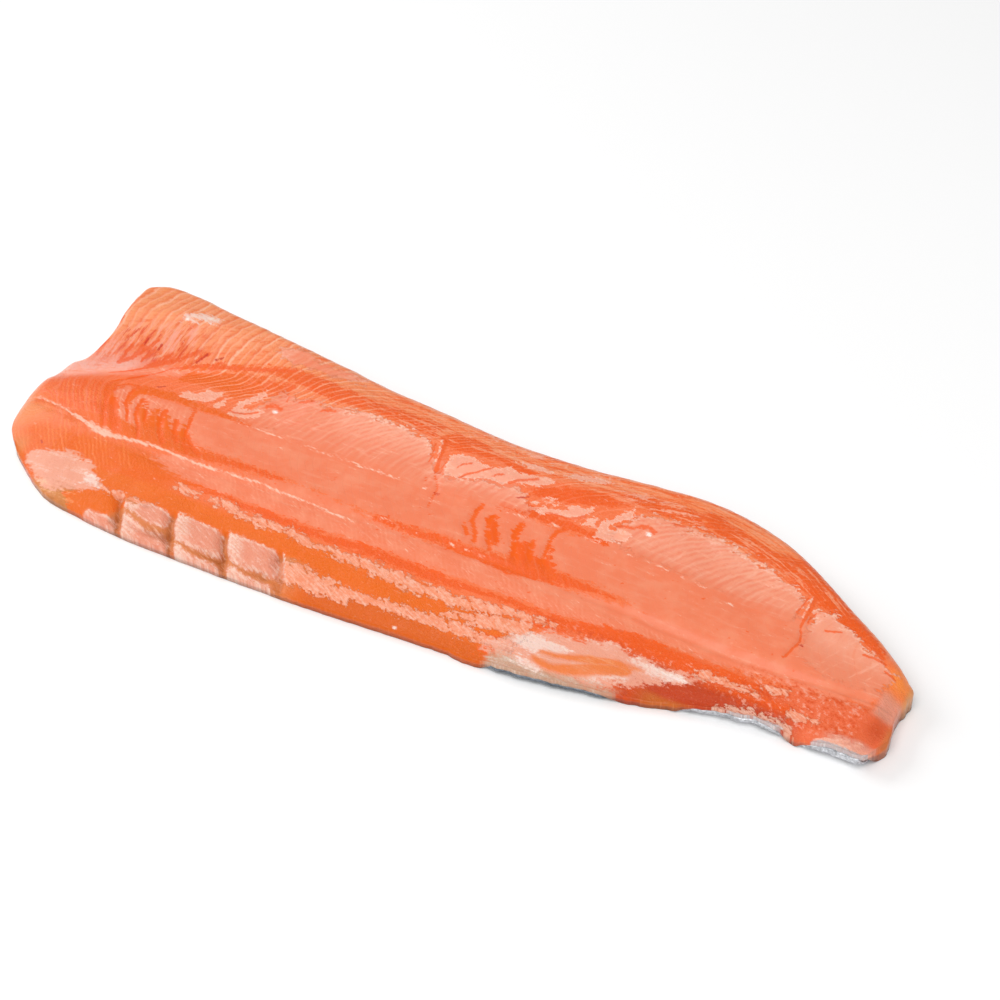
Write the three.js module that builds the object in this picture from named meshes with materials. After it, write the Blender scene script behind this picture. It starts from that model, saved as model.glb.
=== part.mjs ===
// Rainbow trout fillet, skin side down, in millimetres with +Z up.
// Head cut at -X, tail cut at +X, back edge at +Y, belly edge at -Y.
// Two solids: the skin, a shallow tray turned up round the rim, and the flesh that fills it.
//
// Every surface is a height over the same plan. A place in the plan is (s, t): s runs from the
// head cut (0) to the tail cut (1), t from the belly edge (0) to the back edge (1).

import * as THREE from 'three';

// ---------- driving dimensions ----------

const LENGTH = 275; // head cut to tail cut along the lateral line
const SKIN = 0.8; // thickness of the skin
const GAP = 0.3; // between skin and flesh
const CUT_BAND = 1.2; // upright cut face of the flesh above the skin

// Plan outline, as [fraction of the way, mm]. Y is measured from the lateral line, X from the
// head cut. The fillet is widest behind the head and narrows to the wrist of the tail.
const BELLY_EDGE = [
  [0, -14], [0.025, -18.9], [0.07, -26.2], [0.13, -29.3], [0.24, -31.2], [0.42, -30.8], [0.55, -28.9],
  [0.66, -28.3], [0.74, -24.4], [0.83, -17.9], [0.9, -15.2], [0.96, -16.5], [1, -16.4],
];
const BACK_EDGE = [
  [0, 46], [0.02, 52], [0.05, 55], [0.12, 54], [0.25, 51], [0.4, 46.2], [0.55, 42.7],
  [0.62, 43.3], [0.68, 45], [0.76, 47.3], [0.83, 43.8], [0.9, 33], [0.96, 22.6], [1, 14],
];
const HEAD_CUT = [
  [0, 1.4], [0.1, -4.6], [0.22, -7.3], [0.34, -8.8], [0.42, -9], [0.5, -5.9], [0.56, -0.3],
  [0.62, 3.1], [0.72, 6.2], [0.86, 5.5], [1, 5],
];
const TAIL_CUT = [[0, 270.2], [0.3, 273], [0.5, 272], [0.65, 271.8], [0.85, 273.4], [1, 272.8]];

// Height of the cut face of the flesh over the board, along five lines of the fillet.
const LOIN_HEIGHT = [
  [0, 16.5], [0.1, 18.5], [0.3, 21.5], [0.5, 20.8], [0.72, 20], [0.82, 16], [1, 9.5],
];
const SLAB_HEIGHT = [[0, 12.4], [0.06, 13.8], [0.2, 15], [0.45, 15.5], [0.7, 15], [0.82, 12.5], [1, 8.5]];
const LATERAL_HEIGHT = [
  [0, 8.3], [0.06, 11.4], [0.2, 12.5], [0.45, 12.5], [0.7, 11.5], [0.85, 10], [1, 7.5],
];
const FLAP_HEIGHT = [[0, 7], [0.1, 7.5], [0.3, 8], [0.6, 7.5], [0.75, 7], [0.9, 6.5], [1, 6]];
const LINE_T = [0, 0.18, 0.36, 0.6, 0.84, 1]; // belly edge, flap, lateral line, slab, loin, back edge
const BELLY_LIFT = 0.3; // belly edge above its cut band

// The shoulder is a hump of loin behind the head, above a valley that runs aft and outwards.
const SHOULDER_HEIGHT = [[0, 10.5], [0.07, 9], [0.14, 6], [0.25, 2], [0.35, 0], [1, 0]];
const SHOULDER_RUN = 13; // from the valley to the top of the hump
const VALLEY_LINE = [[0, 16], [8, 20], [20, 24.5], [30, 28], [47, 32], [70, 38], [110, 42]];
const VALLEY_DEPTH = 1.6;
const VALLEY_WIDTH = 4;

// Top of the upturned skin round the rim. It stays low under most of the belly and shows where
// the flank turns up near the vent and at the tail.
const SKIN_RIM_BELLY = [
  [0, 1.2], [0.08, 0.6], [0.6, 0.6], [0.64, 1.4], [0.73, 1.2], [0.79, 0.6], [0.86, 2],
  [0.9, 1.9], [0.93, 0.8], [0.96, 2.6], [1, 2.8],
];
const SKIN_RIM_BACK = [[0, 6], [0.1, 8.5], [0.5, 8], [0.75, 7], [0.9, 3.5], [1, 2.6]];
const TURN_UP = { belly: 3, back: 8, head: 3, tail: 3 }; // width of the upturned strip
const ROUNDING = { belly: 5, back: 7, head: 6, tail: 6 }; // the flesh's rounded shoulders

// Lateral line crease, the prints of the ribs on the belly flap, and two cuts across the slab.
const LATERAL_LINE = [[0, 1.5], [10, 0], [28, -4], [110, -4.5], [180, -2.5], [240, -2], [272, 0]];
const CREASE_DEPTH = 0.7;
const CREASE_WIDTH = 2.6;
const RIB_PRINTS = { first: 43.7, pitch: 18.1, count: 4, top: -20, lean: -0.62, depth: 1.1, width: 2.4 };
const FLAP_GROOVE = { from: 44, to: 116, y: -25.2, sweep: 3.4, depth: 0.7, width: 1.4 };
const CUTS = [
  { from: [122, 33], to: [129, 14] },
  { from: [238.5, 28], to: [241, 6] },
];
const CUT_DEPTH = 1.1;
const CUT_WIDTH = 1.8;

// ---------- mesh density ----------

const CELLS_S = 92; // on top, along the fillet; the underside has half as many
const CELLS_T = 28;
const CROWDING_S = 0.35; // how far the cells crowd towards the edges, 0 to 1
const CROWDING_T = 0.45;

// ---------- curves ----------

const clamp01 = (v) => Math.min(1, Math.max(0, v));

// 0 below a, 1 above b, with a smooth rise between.
function smoothStep(a, b, v) {
  const u = clamp01((v - a) / (b - a));
  return u * u * (3 - 2 * u);
}

// A bell of height 1 round the centre.
const bell = (v, centre, width) => Math.exp(-(((v - centre) / width) ** 2));

// The slope of a curve at an inner key: the mean of its two chords, or level at a crest.
function keySlope(before, after) {
  const rise0 = (before[1][1] - before[0][1]) / (before[1][0] - before[0][0]);
  const rise1 = (after[1][1] - after[0][1]) / (after[1][0] - after[0][0]);
  const run0 = before[1][0] - before[0][0];
  const run1 = after[1][0] - after[0][0];
  return rise0 * rise1 <= 0 ? 0 : (rise0 * run1 + rise1 * run0) / (run0 + run1);
}

// A smooth curve through keys [place, value], one cubic for each span.
function through(keys, place) {
  const last = keys.length - 1;
  let i = 0;
  while (i < last - 1 && place > keys[i + 1][0]) i += 1;
  const span = [keys[i], keys[i + 1]];
  const run = span[1][0] - span[0][0];
  const chord = (span[1][1] - span[0][1]) / run;
  const slope0 = i > 0 ? keySlope([keys[i - 1], keys[i]], span) : chord;
  const slope1 = i + 1 < last ? keySlope(span, [keys[i + 1], keys[i + 2]]) : chord;
  const u = clamp01((place - span[0][0]) / run);
  return span[0][1] * (1 + 2 * u) * (1 - u) ** 2 + slope0 * run * u * (1 - u) ** 2
    + span[1][1] * u * u * (3 - 2 * u) + slope1 * run * u * u * (u - 1);
}

// ---------- plan ----------

function planPoint(s, t) {
  const x = through(HEAD_CUT, t) * (1 - s) + through(TAIL_CUT, t) * s;
  const y = through(BELLY_EDGE, s) * (1 - t) + through(BACK_EDGE, s) * t;
  return [x, y];
}

// How far (s, t) lies inside each edge, in mm.
function insets(s, t) {
  const width = through(BACK_EDGE, s) - through(BELLY_EDGE, s);
  return { belly: t * width, back: (1 - t) * width, head: s * LENGTH, tail: (1 - s) * LENGTH };
}

// ---------- skin ----------

// How far the skin turns up at the nearest edge, and how steeply: the underside is flat on the
// board and rises to the rim as a parabola.
function turnUp(s, t) {
  const toBack = smoothStep(0.35, 1, t);
  const rimBack = through(SKIN_RIM_BACK, s);
  const rim = through(SKIN_RIM_BELLY, s) * (1 - toBack) + rimBack * toBack;
  const inside = insets(s, t);
  const strips = { ...TURN_UP, back: TURN_UP.back * (rimBack / SKIN_RIM_BACK[1][1]) };
  let sum = 0;
  let steepest = 0;
  for (const edge of Object.keys(strips)) {
    const nearness = clamp01(1 - inside[edge] / strips[edge]);
    sum += nearness ** 2;
    steepest = Math.max(steepest, nearness / strips[edge]);
  }
  return { height: rim * Math.min(1, sum), lean: Math.hypot(1, 2 * rim * steepest) };
}

function skinUnder(s, t) {
  return turnUp(s, t).height;
}

function skinTop(s, t) {
  const { height, lean } = turnUp(s, t);
  return height + SKIN * lean;
}

// ---------- flesh ----------

function fleshUnder(s, t) {
  const { height, lean } = turnUp(s, t);
  return height + (SKIN + GAP) * lean;
}

// The prints of the ribs: short grooves across the flap, and one between the two rows of pads
// that sweeps towards the belly from each rib to the next.
function ribPrints(x, y) {
  const row = smoothStep(RIB_PRINTS.top + 1, RIB_PRINTS.top - 1, y);
  const fromFirst = x - RIB_PRINTS.first - RIB_PRINTS.lean * (y - RIB_PRINTS.top);
  let depth = 0;
  for (let i = 0; i < RIB_PRINTS.count; i += 1) {
    depth += RIB_PRINTS.depth * row * bell(fromFirst, RIB_PRINTS.pitch * i, RIB_PRINTS.width);
  }
  const along = smoothStep(FLAP_GROOVE.from, FLAP_GROOVE.from + 6, x)
    * (1 - smoothStep(FLAP_GROOVE.to - 10, FLAP_GROOVE.to, x));
  const share = fromFirst / RIB_PRINTS.pitch - Math.floor(fromFirst / RIB_PRINTS.pitch);
  const sweep = smoothStep(0, 0.45, share) * (1 - smoothStep(0.9, 1, share));
  const line = FLAP_GROOVE.y - FLAP_GROOVE.sweep * sweep;
  return depth + FLAP_GROOVE.depth * along * bell(y, line, FLAP_GROOVE.width);
}

// A shallow knife cut, deepest in the middle of its length.
function knifeCut(x, y, cut) {
  const run = new THREE.Vector2(cut.to[0] - cut.from[0], cut.to[1] - cut.from[1]);
  const away = new THREE.Vector2(x - cut.from[0], y - cut.from[1]);
  const along = away.dot(run) / run.lengthSq();
  const aside = away.cross(run) / run.length();
  return CUT_DEPTH * bell(aside, 0, CUT_WIDTH) * bell(along, 0.5, 0.42);
}

// The cut face of the flesh, before its edges are rounded.
function fleshFace(s, t) {
  const [x, y] = planPoint(s, t);
  const beside = y - through(VALLEY_LINE, x);
  const shoulder = through(SHOULDER_HEIGHT, s);
  const edge = fleshUnder(s, 0) + CUT_BAND + BELLY_LIFT;
  const middle = [FLAP_HEIGHT, LATERAL_HEIGHT, SLAB_HEIGHT].map((keys) => through(keys, s));
  const loin = through(LOIN_HEIGHT, s);
  const lines = [edge, ...middle, loin, loin];
  const broad = through(LINE_T.map((place, i) => [place, lines[i]]), t);
  const hump = shoulder * smoothStep(-3, SHOULDER_RUN, beside);
  const valley = VALLEY_DEPTH * (shoulder / SHOULDER_HEIGHT[0][1]) * bell(beside, 0, VALLEY_WIDTH);
  const crease = CREASE_DEPTH * bell(y, through(LATERAL_LINE, x), CREASE_WIDTH);
  const cuts = CUTS.reduce((depth, cut) => depth + knifeCut(x, y, cut), 0);
  return broad + hump - valley - crease - ribPrints(x, y) - cuts;
}

// A quarter round: 0 at the edge, 1 from the radius inwards.
function rounded(inset, radius) {
  const u = clamp01(1 - inset / radius);
  return Math.sqrt(Math.max(0, 1 - u * u));
}

function fleshTop(s, t) {
  const inside = insets(s, t);
  const full = Object.keys(ROUNDING).reduce((part, edge) => part * rounded(inside[edge], ROUNDING[edge]), 1);
  const rim = fleshUnder(s, t) + CUT_BAND;
  return rim * (1 - full) + fleshFace(s, t) * full;
}

// ---------- meshes ----------

// Even steps from 0 to 1, crowded towards both ends.
const crowd = (u, amount) => u - (amount * Math.sin(2 * Math.PI * u)) / (2 * Math.PI);

// One face of a solid: a grid of points over the plan at the given height.
function layer(height, cellsS, cellsT) {
  const points = [];
  for (let i = 0; i <= cellsS; i += 1) {
    for (let j = 0; j <= cellsT; j += 1) {
      const s = crowd(i / cellsS, CROWDING_S);
      const t = crowd(j / cellsT, CROWDING_T);
      points.push(...planPoint(s, t), height(s, t));
    }
  }
  return { points, cellsS, cellsT };
}

// The grid's triangles, facing up, or down if turned.
function layerTriangles({ cellsS, cellsT }, start, turned) {
  const triangles = [];
  const at = (i, j) => start + i * (cellsT + 1) + j;
  for (let i = 0; i < cellsS; i += 1) {
    for (let j = 0; j < cellsT; j += 1) {
      const [near, far] = [at(i, j), at(i + 1, j + 1)];
      const [first, second] = turned ? [at(i, j + 1), at(i + 1, j)] : [at(i + 1, j), at(i, j + 1)];
      triangles.push(near, first, far, near, far, second);
    }
  }
  return triangles;
}

// The grid's rim, as point numbers, once round anticlockwise from the head end of the belly.
function layerRim({ cellsS, cellsT }, start) {
  const at = (i, j) => start + i * (cellsT + 1) + j;
  const rim = [];
  for (let i = 0; i < cellsS; i += 1) rim.push(at(i, 0));
  for (let j = 0; j < cellsT; j += 1) rim.push(at(cellsS, j));
  for (let i = cellsS; i > 0; i -= 1) rim.push(at(i, cellsT));
  for (let j = cellsT; j > 0; j -= 1) rim.push(at(0, j));
  return rim;
}

// The side face between two rims; the upper one has one or more steps for each lower step.
function sideTriangles(lower, upper) {
  const triangles = [];
  const steps = upper.length / lower.length;
  for (let i = 0; i < lower.length; i += 1) {
    const nextLower = lower[(i + 1) % lower.length];
    const corner = upper[((i + 1) * steps) % upper.length];
    for (let k = 0; k < steps; k += 1) {
      triangles.push(lower[i], upper[(i * steps + k + 1) % upper.length], upper[i * steps + k]);
    }
    triangles.push(lower[i], nextLower, corner);
  }
  return triangles;
}

// A closed solid from an underside, a top face and the side between their rims.
function solid(name, under, top, material) {
  const topStart = under.points.length / 3;
  const geometry = new THREE.BufferGeometry();
  geometry.setAttribute('position', new THREE.Float32BufferAttribute([...under.points, ...top.points], 3));
  geometry.setIndex([
    ...layerTriangles(under, 0, true),
    ...layerTriangles(top, topStart, false),
    ...sideTriangles(layerRim(under, 0), layerRim(top, topStart)),
  ]);
  geometry.computeVertexNormals();
  const mesh = new THREE.Mesh(geometry, material);
  mesh.name = name;
  return mesh;
}

// ---------- the fillet ----------

function makeFlesh() {
  const under = layer(fleshUnder, CELLS_S / 2, CELLS_T / 2);
  const top = layer(fleshTop, CELLS_S, CELLS_T);
  const wetFlesh = new THREE.MeshStandardMaterial({ color: 0xf37f50, roughness: 0.35, metalness: 0 });
  return solid('flesh', under, top, wetFlesh);
}

function makeSkin() {
  const under = layer(skinUnder, CELLS_S / 2, CELLS_T / 2);
  const top = layer(skinTop, CELLS_S / 2, CELLS_T / 2);
  const silverSkin = new THREE.MeshStandardMaterial({ color: 0xa8a4a8, roughness: 0.35, metalness: 0.3 });
  return solid('skin', under, top, silverSkin);
}

const fillet = new THREE.Group();
fillet.add(makeFlesh(), makeSkin());

// The part's origin is on the board, under the middle of the fillet.
const box = new THREE.Box3().setFromObject(fillet);
const middle = box.getCenter(new THREE.Vector3());
for (const mesh of fillet.children) mesh.geometry.translate(-middle.x, -middle.y, -box.min.z);

export default fillet;
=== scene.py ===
from functools import partial

import bpy
import numpy as np
from mathutils import Matrix, Vector


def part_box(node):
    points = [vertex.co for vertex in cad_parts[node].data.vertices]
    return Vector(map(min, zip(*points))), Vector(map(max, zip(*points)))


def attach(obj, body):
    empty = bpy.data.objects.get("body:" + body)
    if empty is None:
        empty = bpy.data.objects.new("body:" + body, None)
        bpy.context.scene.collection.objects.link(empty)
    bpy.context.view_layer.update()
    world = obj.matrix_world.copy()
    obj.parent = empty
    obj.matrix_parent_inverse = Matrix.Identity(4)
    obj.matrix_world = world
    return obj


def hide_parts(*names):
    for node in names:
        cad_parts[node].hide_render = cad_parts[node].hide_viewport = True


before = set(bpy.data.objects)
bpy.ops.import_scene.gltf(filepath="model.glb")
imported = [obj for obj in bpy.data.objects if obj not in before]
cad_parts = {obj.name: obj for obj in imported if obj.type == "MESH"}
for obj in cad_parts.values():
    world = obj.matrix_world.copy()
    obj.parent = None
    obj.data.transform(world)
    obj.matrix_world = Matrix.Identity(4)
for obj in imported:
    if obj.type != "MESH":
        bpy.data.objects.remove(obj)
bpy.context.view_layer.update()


# ---------- flesh ----------
# One side of a raw rainbow trout, cut from the backbone and laid skin down: firm wet muscle,
# orange-pink, in thin leaning segments joined by pale sinew. The loin stands up as a shoulder
# behind the head cut, and the belly flap keeps the prints of the ribs that were cut out.

MM = 0.001
LENGTH = 275  # head cut to tail cut along the lateral line, mm
SKIN = 0.8  # the skin's thickness, mm
CUT_BAND = 1.2  # height of the flesh's cut edge above the skin, mm

# The four edges in the plan and the heights of five lines along the fillet, in mm, as shares of
# its length or width and the value there.
BELLY_EDGE = [
    (0, -14), (0.025, -18.9), (0.07, -26.2), (0.13, -29.3), (0.24, -31.2), (0.42, -30.8), (0.55, -28.9),
    (0.66, -28.3), (0.74, -24.4), (0.83, -17.9), (0.9, -15.2), (0.96, -16.5), (1, -16.4),
]
BACK_EDGE = [
    (0, 46), (0.02, 52), (0.05, 55), (0.12, 54), (0.25, 51), (0.4, 46.2), (0.55, 42.7),
    (0.62, 43.3), (0.68, 45), (0.76, 47.3), (0.83, 43.8), (0.9, 33), (0.96, 22.6), (1, 14),
]
HEAD_CUT = [
    (0, 1.4), (0.1, -4.6), (0.22, -7.3), (0.34, -8.8), (0.42, -9), (0.5, -5.9), (0.56, -0.3),
    (0.62, 3.1), (0.72, 6.2), (0.86, 5.5), (1, 5),
]
TAIL_CUT = [(0, 270.2), (0.3, 273), (0.5, 272), (0.65, 271.8), (0.82, 273.3), (0.93, 272.6), (1, 269.8)]
LOIN_HEIGHT = [(0, 16.5), (0.1, 18.5), (0.3, 21.5), (0.5, 20.8), (0.72, 20), (0.82, 16), (1, 9.5)]
SLAB_HEIGHT = [(0, 12.4), (0.06, 13.8), (0.2, 15), (0.45, 15.5), (0.7, 15), (0.82, 12.5), (1, 8.5)]
LATERAL_HEIGHT = [(0, 8.3), (0.06, 11.4), (0.2, 12.5), (0.45, 12.5), (0.7, 11.5), (0.85, 10), (1, 7.5)]
FLAP_HEIGHT = [(0, 7), (0.1, 7.5), (0.3, 8), (0.6, 7.5), (0.75, 7), (0.9, 6.5), (1, 6)]
LINE_T = (0, 0.18, 0.36, 0.6, 0.84, 1)  # where those lines run, as shares of the width
BELLY_LIFT = 0.3

# The shoulder above the broad face and the valley at its foot, whose line is in mm.
SHOULDER_HEIGHT = [(0, 10.5), (0.07, 9), (0.14, 6), (0.25, 2), (0.35, 0), (1, 0)]
SHOULDER_RUN = 13
VALLEY_LINE = [(0, 16), (8, 20), (20, 24.5), (30, 28), (47, 32), (70, 38), (110, 42)]
VALLEY_DEPTH = 1.6
VALLEY_WIDTH = 4

# How high the skin turns up at the rim, how far inside it starts to, and the flesh's rounding.
SKIN_RIM_BELLY = [
    (0, 1.2), (0.08, 0.6), (0.6, 0.6), (0.64, 1.4), (0.73, 1.2), (0.79, 0.6), (0.86, 2),
    (0.9, 1.9), (0.93, 0.8), (0.96, 2.6), (1, 2.8),
]
SKIN_RIM_BACK = [(0, 6), (0.1, 8.5), (0.5, 8), (0.75, 7), (0.9, 3.5), (1, 2.6)]
TURN_UP = {"belly": 3, "back": 8, "head": 3, "tail": 3}
ROUNDING = {"belly": 5, "back": 7, "head": 6, "tail": 6}
LATERAL_LINE = [(0, 1.5), (10, 0), (28, -4), (110, -4.5), (180, -2.5), (240, -2), (272, 0)]
RAGGED_EDGE = [(0.35, 4, 11), (0.25, 1.7, 12)]  # random waves, as (height, grain, seed), mm
UNEVEN_FACE = [(0.35, 14, 51), (0.14, 5, 52), (0.05, 1.6, 53)]


def curve(keys, at):
    """Smooth curve through (place, value) keys: one cubic for each span. Its slope at an inner
    key is the mean of the two chords beside it, or level where they rise and fall."""
    places, values = np.array(keys, float).T
    return blend_keys(places, values, at)


def blend_keys(places, values, at):
    """The cubic of each span, for values that may differ from point to point."""
    values = np.broadcast_to(values, np.shape(at) + places.shape)
    run = np.diff(places)
    chord = np.diff(values, axis=-1) / run
    before, after = chord[..., :-1], chord[..., 1:]
    inner = (before * run[1:] + after * run[:-1]) / (run[1:] + run[:-1])
    inner = np.where(before * after <= 0, 0, inner)
    slope = np.concatenate([chord[..., :1], inner, chord[..., -1:]], axis=-1)
    span = np.clip(np.searchsorted(places, at, side="right") - 1, 0, len(places) - 2)
    pick = lambda array, shift: np.take_along_axis(array, (span + shift)[..., None], -1)[..., 0]
    width = run[span]
    u = np.clip((at - places[span]) / width, 0, 1)
    return (
        pick(values, 0) * (1 + 2 * u) * (1 - u) ** 2
        + pick(slope, 0) * width * u * (1 - u) ** 2
        + pick(values, 1) * u * u * (3 - 2 * u)
        + pick(slope, 1) * width * u * u * (u - 1)
    )


def smooth_step(low, high, value):
    """0 before low, 1 past high, and three squares less two cubes of the share of the way between
    them. It falls instead of rising where low is the larger of the two."""
    u = np.clip((value - low) / (high - low), 0, 1)
    return u * u * (3 - 2 * u)


def window(value, rise, fall):
    """1 over a stretch: a smooth step up over the rise, times a smooth step down over the fall."""
    return smooth_step(*rise, value) * (1 - smooth_step(*fall, value))


def bell(value, centre, width):
    """A bell of height 1 round the centre: e to the minus square of the distance in widths."""
    return np.exp(-(((value - centre) / width) ** 2))


def lattice(x, y, grain, seed):
    """Smooth random waves from -1 to 1: random heights on a square lattice of the given grain,
    joined by smooth steps."""
    heights = np.random.default_rng(seed).uniform(-1, 1, (256, 256))
    column, row = x / grain + 64, y / grain + 64
    i, j = np.floor(column).astype(int), np.floor(row).astype(int)
    u, v = smooth_step(0, 1, column - i), smooth_step(0, 1, row - j)
    i, j = i % 255, j % 255
    low = heights[i, j] * (1 - u) + heights[i + 1, j] * u
    high = heights[i, j + 1] * (1 - u) + heights[i + 1, j + 1] * u
    return low * (1 - v) + high * v


def waves(x, y, table):
    """A sum of random waves, each (height, grain, seed)."""
    return sum(height * lattice(x, y, grain, seed) for height, grain, seed in table)


def plan(s, t):
    """Place in the plan, mm. s runs from the head cut (0) to the tail cut (1) and t from the
    belly edge (0) to the back edge (1); the four edges are curves, blended straight across."""
    x = curve(HEAD_CUT, t) * (1 - s) + curve(TAIL_CUT, t) * s
    y = curve(BELLY_EDGE, s) * (1 - t) + curve(BACK_EDGE, s) * t
    ragged = waves(x, y, RAGGED_EDGE)
    at_belly = (1 - smooth_step(0, 0.06, t)) * (0.3 + 0.7 * smooth_step(0.54, 0.6, s))
    at_tail = smooth_step(0.975, 1, s)
    return x + ragged * at_tail, y + ragged * at_belly


def insets(s, t):
    """How far a place lies inside each edge, mm."""
    width = curve(BACK_EDGE, s) - curve(BELLY_EDGE, s)
    return {"belly": t * width, "back": (1 - t) * width, "head": s * LENGTH, "tail": (1 - s) * LENGTH}


def turn_up(s, t):
    """Height of the skin's underside, flat on the board and rising to the rim as a parabola, and
    how much longer its slope is than its plan."""
    to_back = smooth_step(0.35, 1, t)
    rim_back = curve(SKIN_RIM_BACK, s)
    rim = curve(SKIN_RIM_BELLY, s) * (1 - to_back) + rim_back * to_back
    strips = dict(TURN_UP, back=TURN_UP["back"] * rim_back / SKIN_RIM_BACK[1][1])
    inside = insets(s, t)
    nearness = {edge: np.clip(1 - inside[edge] / strips[edge], 0, 1) for edge in strips}
    total = sum(near**2 for near in nearness.values())
    steepest = np.maximum.reduce([nearness[edge] / strips[edge] for edge in strips])
    return rim * np.minimum(1, total), np.hypot(1, 2 * rim * steepest)


def skin_top(s, t):
    """Height of the skin's inner face, mm."""
    height, lean = turn_up(s, t)
    return height + SKIN * lean


SEGMENT = 5.0  # one muscle segment, mm along the fish
SEGMENT_LEAN = [(-33, 28), (-4, 2), (15, -10), (24, -4), (32, 10), (42, 30), (56, 52)]


def segments(x, y):
    """Number of muscle segments from the head cut. The sheets between them lean: tailwards
    towards the belly, headwards up to the pin-bone line, and tailwards again over the loin."""
    waver = 0.5 * lattice(x, y, 12, 21)
    upright = (1 - 0.2 * smooth_step(4, 26, x)) * (1 - smooth_step(60, 120, x)) * smooth_step(22, 34, y)
    return (x - curve(SEGMENT_LEAN, y) * (1 - upright) - 6 * upright + waver) / SEGMENT


def strokes(x, y, lines):
    """1 along a few drawn lines, falling to 0 over their width: each is (width in mm,
    points), and the falling is a bell of the distance to the nearest leg."""
    mark = np.zeros_like(x)
    for width, places in lines:
        for (x0, y0), (x1, y1) in zip(places, places[1:]):
            run = max((x1 - x0) ** 2 + (y1 - y0) ** 2, 1e-9)
            along = np.clip(((x - x0) * (x1 - x0) + (y - y0) * (y1 - y0)) / run, 0, 1)
            away = np.hypot(x - x0 - along * (x1 - x0), y - y0 - along * (y1 - y0))
            mark = np.maximum(mark, bell(away, 0, width))
    return mark


RIBS = {"first": 44.5, "pitch": 18.1, "count": 4, "top": -20, "lean": -0.54}
ROWS = {"y": -26.6, "sweep": 1.7}  # where the two rows of pads meet
GAPES = [  # slits where the segments gape beside the lateral line, as (width, points)
    (0.35, [(24.6, 22.3), (20.7, 18.1), (17.3, 15.4), (17.7, 12.7), (19.5, 9.2)]),
    (0.9, [(19.1, 9.8), (21.3, 5.6), (23.7, 1.6), (25.5, -0.7)]),
    (1.4, [(22.7, 7.8), (25.1, 4.1), (27.6, 1), (30.2, -1.5)]),
    (0.6, [(25.8, 16.5), (25.2, 12.8), (26.7, 8.3), (29.9, 4.8), (31.7, 2)]),
    (0.35, [(19.9, 13.9), (22, 16.2), (25.8, 16.5)]),
    (0.6, [(30.6, 12.3), (31.1, 8.3), (32.9, 4.7), (35.7, 1.6), (38, -1.8)]),
    (0.4, [(30.6, 12.3), (33.8, 9.5), (36.5, 4)]),
    (0.9, [(39.8, 10.3), (40.3, 7), (42.3, 3.5), (44.2, 0.9), (46.1, -0.8)]),
    (0.9, [(45, 8.2), (47, 4.2), (49.9, 0.8)]),
    (0.6, [(47.4, 15), (48.6, 10.6), (50.2, 5.8), (52.4, 1), (55.4, -1.6)]),
    (0.8, [(51.8, 3.9), (55.1, 0.9), (59, -0.6)]), (0.6, [(142.2, 6.8), (144, 4.8), (145.3, 3.1)]),
    (0.9, [(143.8, 14.3), (143.5, 11.4), (143.8, 8.8), (146.9, 5.1), (148, 2)]),
    (0.95, [(148.9, 12.6), (148.3, 10.1), (149.6, 6.7), (151.4, 3.8), (153.3, 1.6)]),
    (0.4, [(149.9, 12.2), (150.6, 10.2), (152.5, 6.3), (154.9, 3.4)]),
    (1.3, [(157.5, 12.8), (156.9, 9.6), (158, 6.8), (159.7, 3.5), (161.5, 0.9)]),
    (1.1, [(162.7, 8.8), (164.8, 2.7), (166.2, 0.4)]),
    (0.8, [(169.5, 16.8), (167.4, 14.4), (166.9, 11.8), (167.6, 8.2), (167.9, 4.8), (170, 2.2)]),
    (1.5, [(168.4, 3.2), (171.1, 1.5), (173.4, 0.6)]),
    (0.7, [(138.2, -1.1), (146.3, -2.1), (155.7, -1.5), (163.8, -1.4)]),
]
CUTS = [  # thin ends and edges of two nicks of the knife across the slab
    (0.5, [(126.3, 18.8), (128.4, 16.6), (129.2, 14.9), (129.4, 11.7), (130, 8)]),
    (0.4, [(121.8, 27.6), (122.1, 25.9), (122.6, 23.6), (122.6, 21.9)]),
    (0.35, [(127.1, 24.9), (127.4, 22.3), (127.3, 20.1)]), (0.35, [(123.9, 17.7), (124.6, 16.7)]),
    (0.45, [(239.8, 14), (240.3, 13.5), (241.3, 10.5), (241.1, 9.1)]),
    (0.55, [(241.1, 9.1), (240.5, 7.2), (239.8, 4.1)]),
    (0.45, [(238, 24.2), (237.8, 23.7), (237.2, 20.8), (236.8, 18.8)]),
    (0.35, [(241.6, 20.4), (240.8, 18.2), (240.8, 16.4)]),
]
GASHES = [  # where the nicks are widest, as outlines
    [(121.6, 30.3), (123.8, 32.3), (125.1, 28.1), (125.5, 25.1), (125.8, 23), (126.6, 20.6), (126.3, 18.6),
     (125.2, 20.1), (124.8, 22.9), (124.4, 25.8), (123.3, 28.4)],
    [(238.3, 26), (240.7, 25.7), (240.5, 24.4), (240.4, 22.3), (240.3, 20.1), (240.1, 18.2), (239.9, 15.7),
     (239.9, 13.6), (239.1, 15), (239.2, 18.5), (239.3, 21.9), (239.2, 23.9)],
]
LIPS = [  # the pale lip beside each nick
    (0.4, [(122.9, 29.4), (124, 25.9), (124.5, 22.6)]), (0.4, [(238.9, 24.6), (239, 21.6), (238.9, 18)]),
]

# Relief, mm: the crease of the lateral line and the ridge in it, the grooves of the ribs and
# between the two rows, the pads, the slits, the cuts and their lips, and the flakes.
CREASE, RIDGE = 0.8, 0.35
RIB_GROOVE, ROW_GROOVE, PAD_SWELL = 1.6, 0.9, 0.6
SLIT, CUT, LIP = 0.25, 0.3, 0.2
FLAKE = 0.16


def rib_place(x, y):
    """Ribs passed since the first one, with a fraction for the way to the next."""
    wander = 0.5 * lattice(x, y, 4, 31)
    return (x + wander - RIBS["first"] - RIBS["lean"] * (y - RIBS["top"])) / RIBS["pitch"]


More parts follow.
